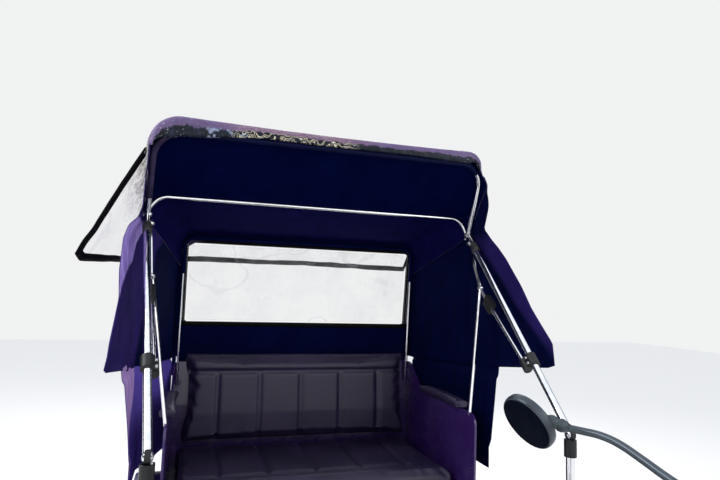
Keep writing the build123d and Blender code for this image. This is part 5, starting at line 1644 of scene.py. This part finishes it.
# Camera at the photograph's viewing angle, in the image frame of 720 by 480
CAMERA_AT = (2.16, -0.475, 1.377)
CAMERA_TURN = 0.294
CAMERA_TILT = 0.099
CAMERA_ROLL = 0.031
FOCAL_PIXELS = 540.1
IMAGE_W = 720
SENSOR_MM = 36.0
FLOOR_HALF = 14


def make_camera():
    back = Vector((-math.cos(CAMERA_TURN), math.sin(CAMERA_TURN), 0))
    right = Vector((math.sin(CAMERA_TURN), math.cos(CAMERA_TURN), 0))
    above = Vector((0, 0, 1))
    ahead = back * math.cos(CAMERA_TILT) + above * math.sin(CAMERA_TILT)
    upward = above * math.cos(CAMERA_TILT) - back * math.sin(CAMERA_TILT)
    x_axis = right * math.cos(CAMERA_ROLL) + upward * math.sin(CAMERA_ROLL)
    y_axis = upward * math.cos(CAMERA_ROLL) - right * math.sin(CAMERA_ROLL)
    data = bpy.data.cameras.new("camera")
    data.sensor_width = SENSOR_MM
    data.lens = FOCAL_PIXELS * SENSOR_MM / IMAGE_W
    data.clip_start = 0.02
    matrix = Matrix((x_axis, y_axis, -ahead)).transposed().to_4x4()
    matrix.translation = row_point(*CAMERA_AT)
    obj = linked("camera", data)
    obj.matrix_world = matrix
    bpy.context.scene.camera = obj


def add_area(name, place, target, size, power):
    light = bpy.data.lights.new(name, "AREA")
    light.shape = "RECTANGLE"
    light.size, light.size_y = size
    light.energy = power
    obj = linked(name, light)
    obj.location = place
    obj.rotation_euler = (Vector(target) - Vector(place)).to_track_quat("-Z", "Y").to_euler()


def make_stage():
    look = new_look("floor")
    look.shade(Base_Color=(0.92, 0.92, 0.91), Roughness=0.85)
    verts = [(x * FLOOR_HALF, y * FLOOR_HALF, 0) for x, y in CORNERS]
    mesh_object("floor", verts, [(0, 1, 2, 3)], [look.owner], smooth=False)


def make_sky():
    """Plain pale backdrop for the camera, and a bright sky and a bright front for reflections."""
    look = Nodes(bpy.data.worlds.new("world"))
    bpy.context.scene.world = look.owner
    soft = look.fill(look.tree.nodes["Background"], Color=(0.86, 0.88, 0.92), Strength=1.0)
    plain = look.node("Background", Color=(0.88, 0.885, 0.89))
    rays = look.node("LightPath").outputs
    x, _, z = look.split(look.node("TexCoord").outputs["Generated"])
    sky = look.ramp(
        look.remap(z, -1, 1, 0, 1),
        (0.0, (0.26, 0.26, 0.27)),
        (0.42, (0.07, 0.07, 0.08)),
        (0.62, (0.08, 0.08, 0.10)),
        (0.74, (0.80, 0.85, 0.95)),
        (1.0, (1.2, 1.25, 1.35)),
    )
    ahead = look.ramp(
        look.remap(x, -1, 1, 0, 1),
        (0.0, (0.10, 0.10, 0.11)),
        (0.62, (0.05, 0.05, 0.06)),
        (0.74, (0.9, 0.92, 0.96)),
        (1.0, (1.5, 1.5, 1.5)),
    )
    brighter = look.node("Mix", data_type="RGBA", blend_type="LIGHTEN", Factor=1.0)
    look.feed(brighter.inputs[6], sky)
    look.feed(brighter.inputs[7], ahead)
    mirrored = look.node("Background", Color=brighter.outputs[2])
    seen = look.math("MAXIMUM", rays["Is Camera Ray"], rays["Is Transmission Ray"])
    surface = soft.outputs[0]
    for share, shown in ((rays["Is Glossy Ray"], mirrored), (seen, plain)):
        mixed = look.node("MixShader", Fac=share)
        look.feed(mixed.inputs[1], surface)
        look.feed(mixed.inputs[2], shown.outputs[0])
        surface = mixed.outputs[0]
    look.feed(look.tree.nodes["World Output"].inputs["Surface"], surface)


def add_lights():
    add_area("key", (-0.5, -4.2, 4.4), (-0.6, 0, 1.2), (2.5, 2.5), 150)
    add_area("fill", (3.2, 3.0, 3.6), (-0.3, 0, 0.9), (2.5, 2.0), 25)
    add_area("rear", (-4.2, 1.5, 3.6), (-0.6, 0, 1.3), (2.5, 2.0), 60)


make_camera()
make_stage()
make_sky()
add_lights()
bpy.context.scene.view_settings.view_transform = "Standard"
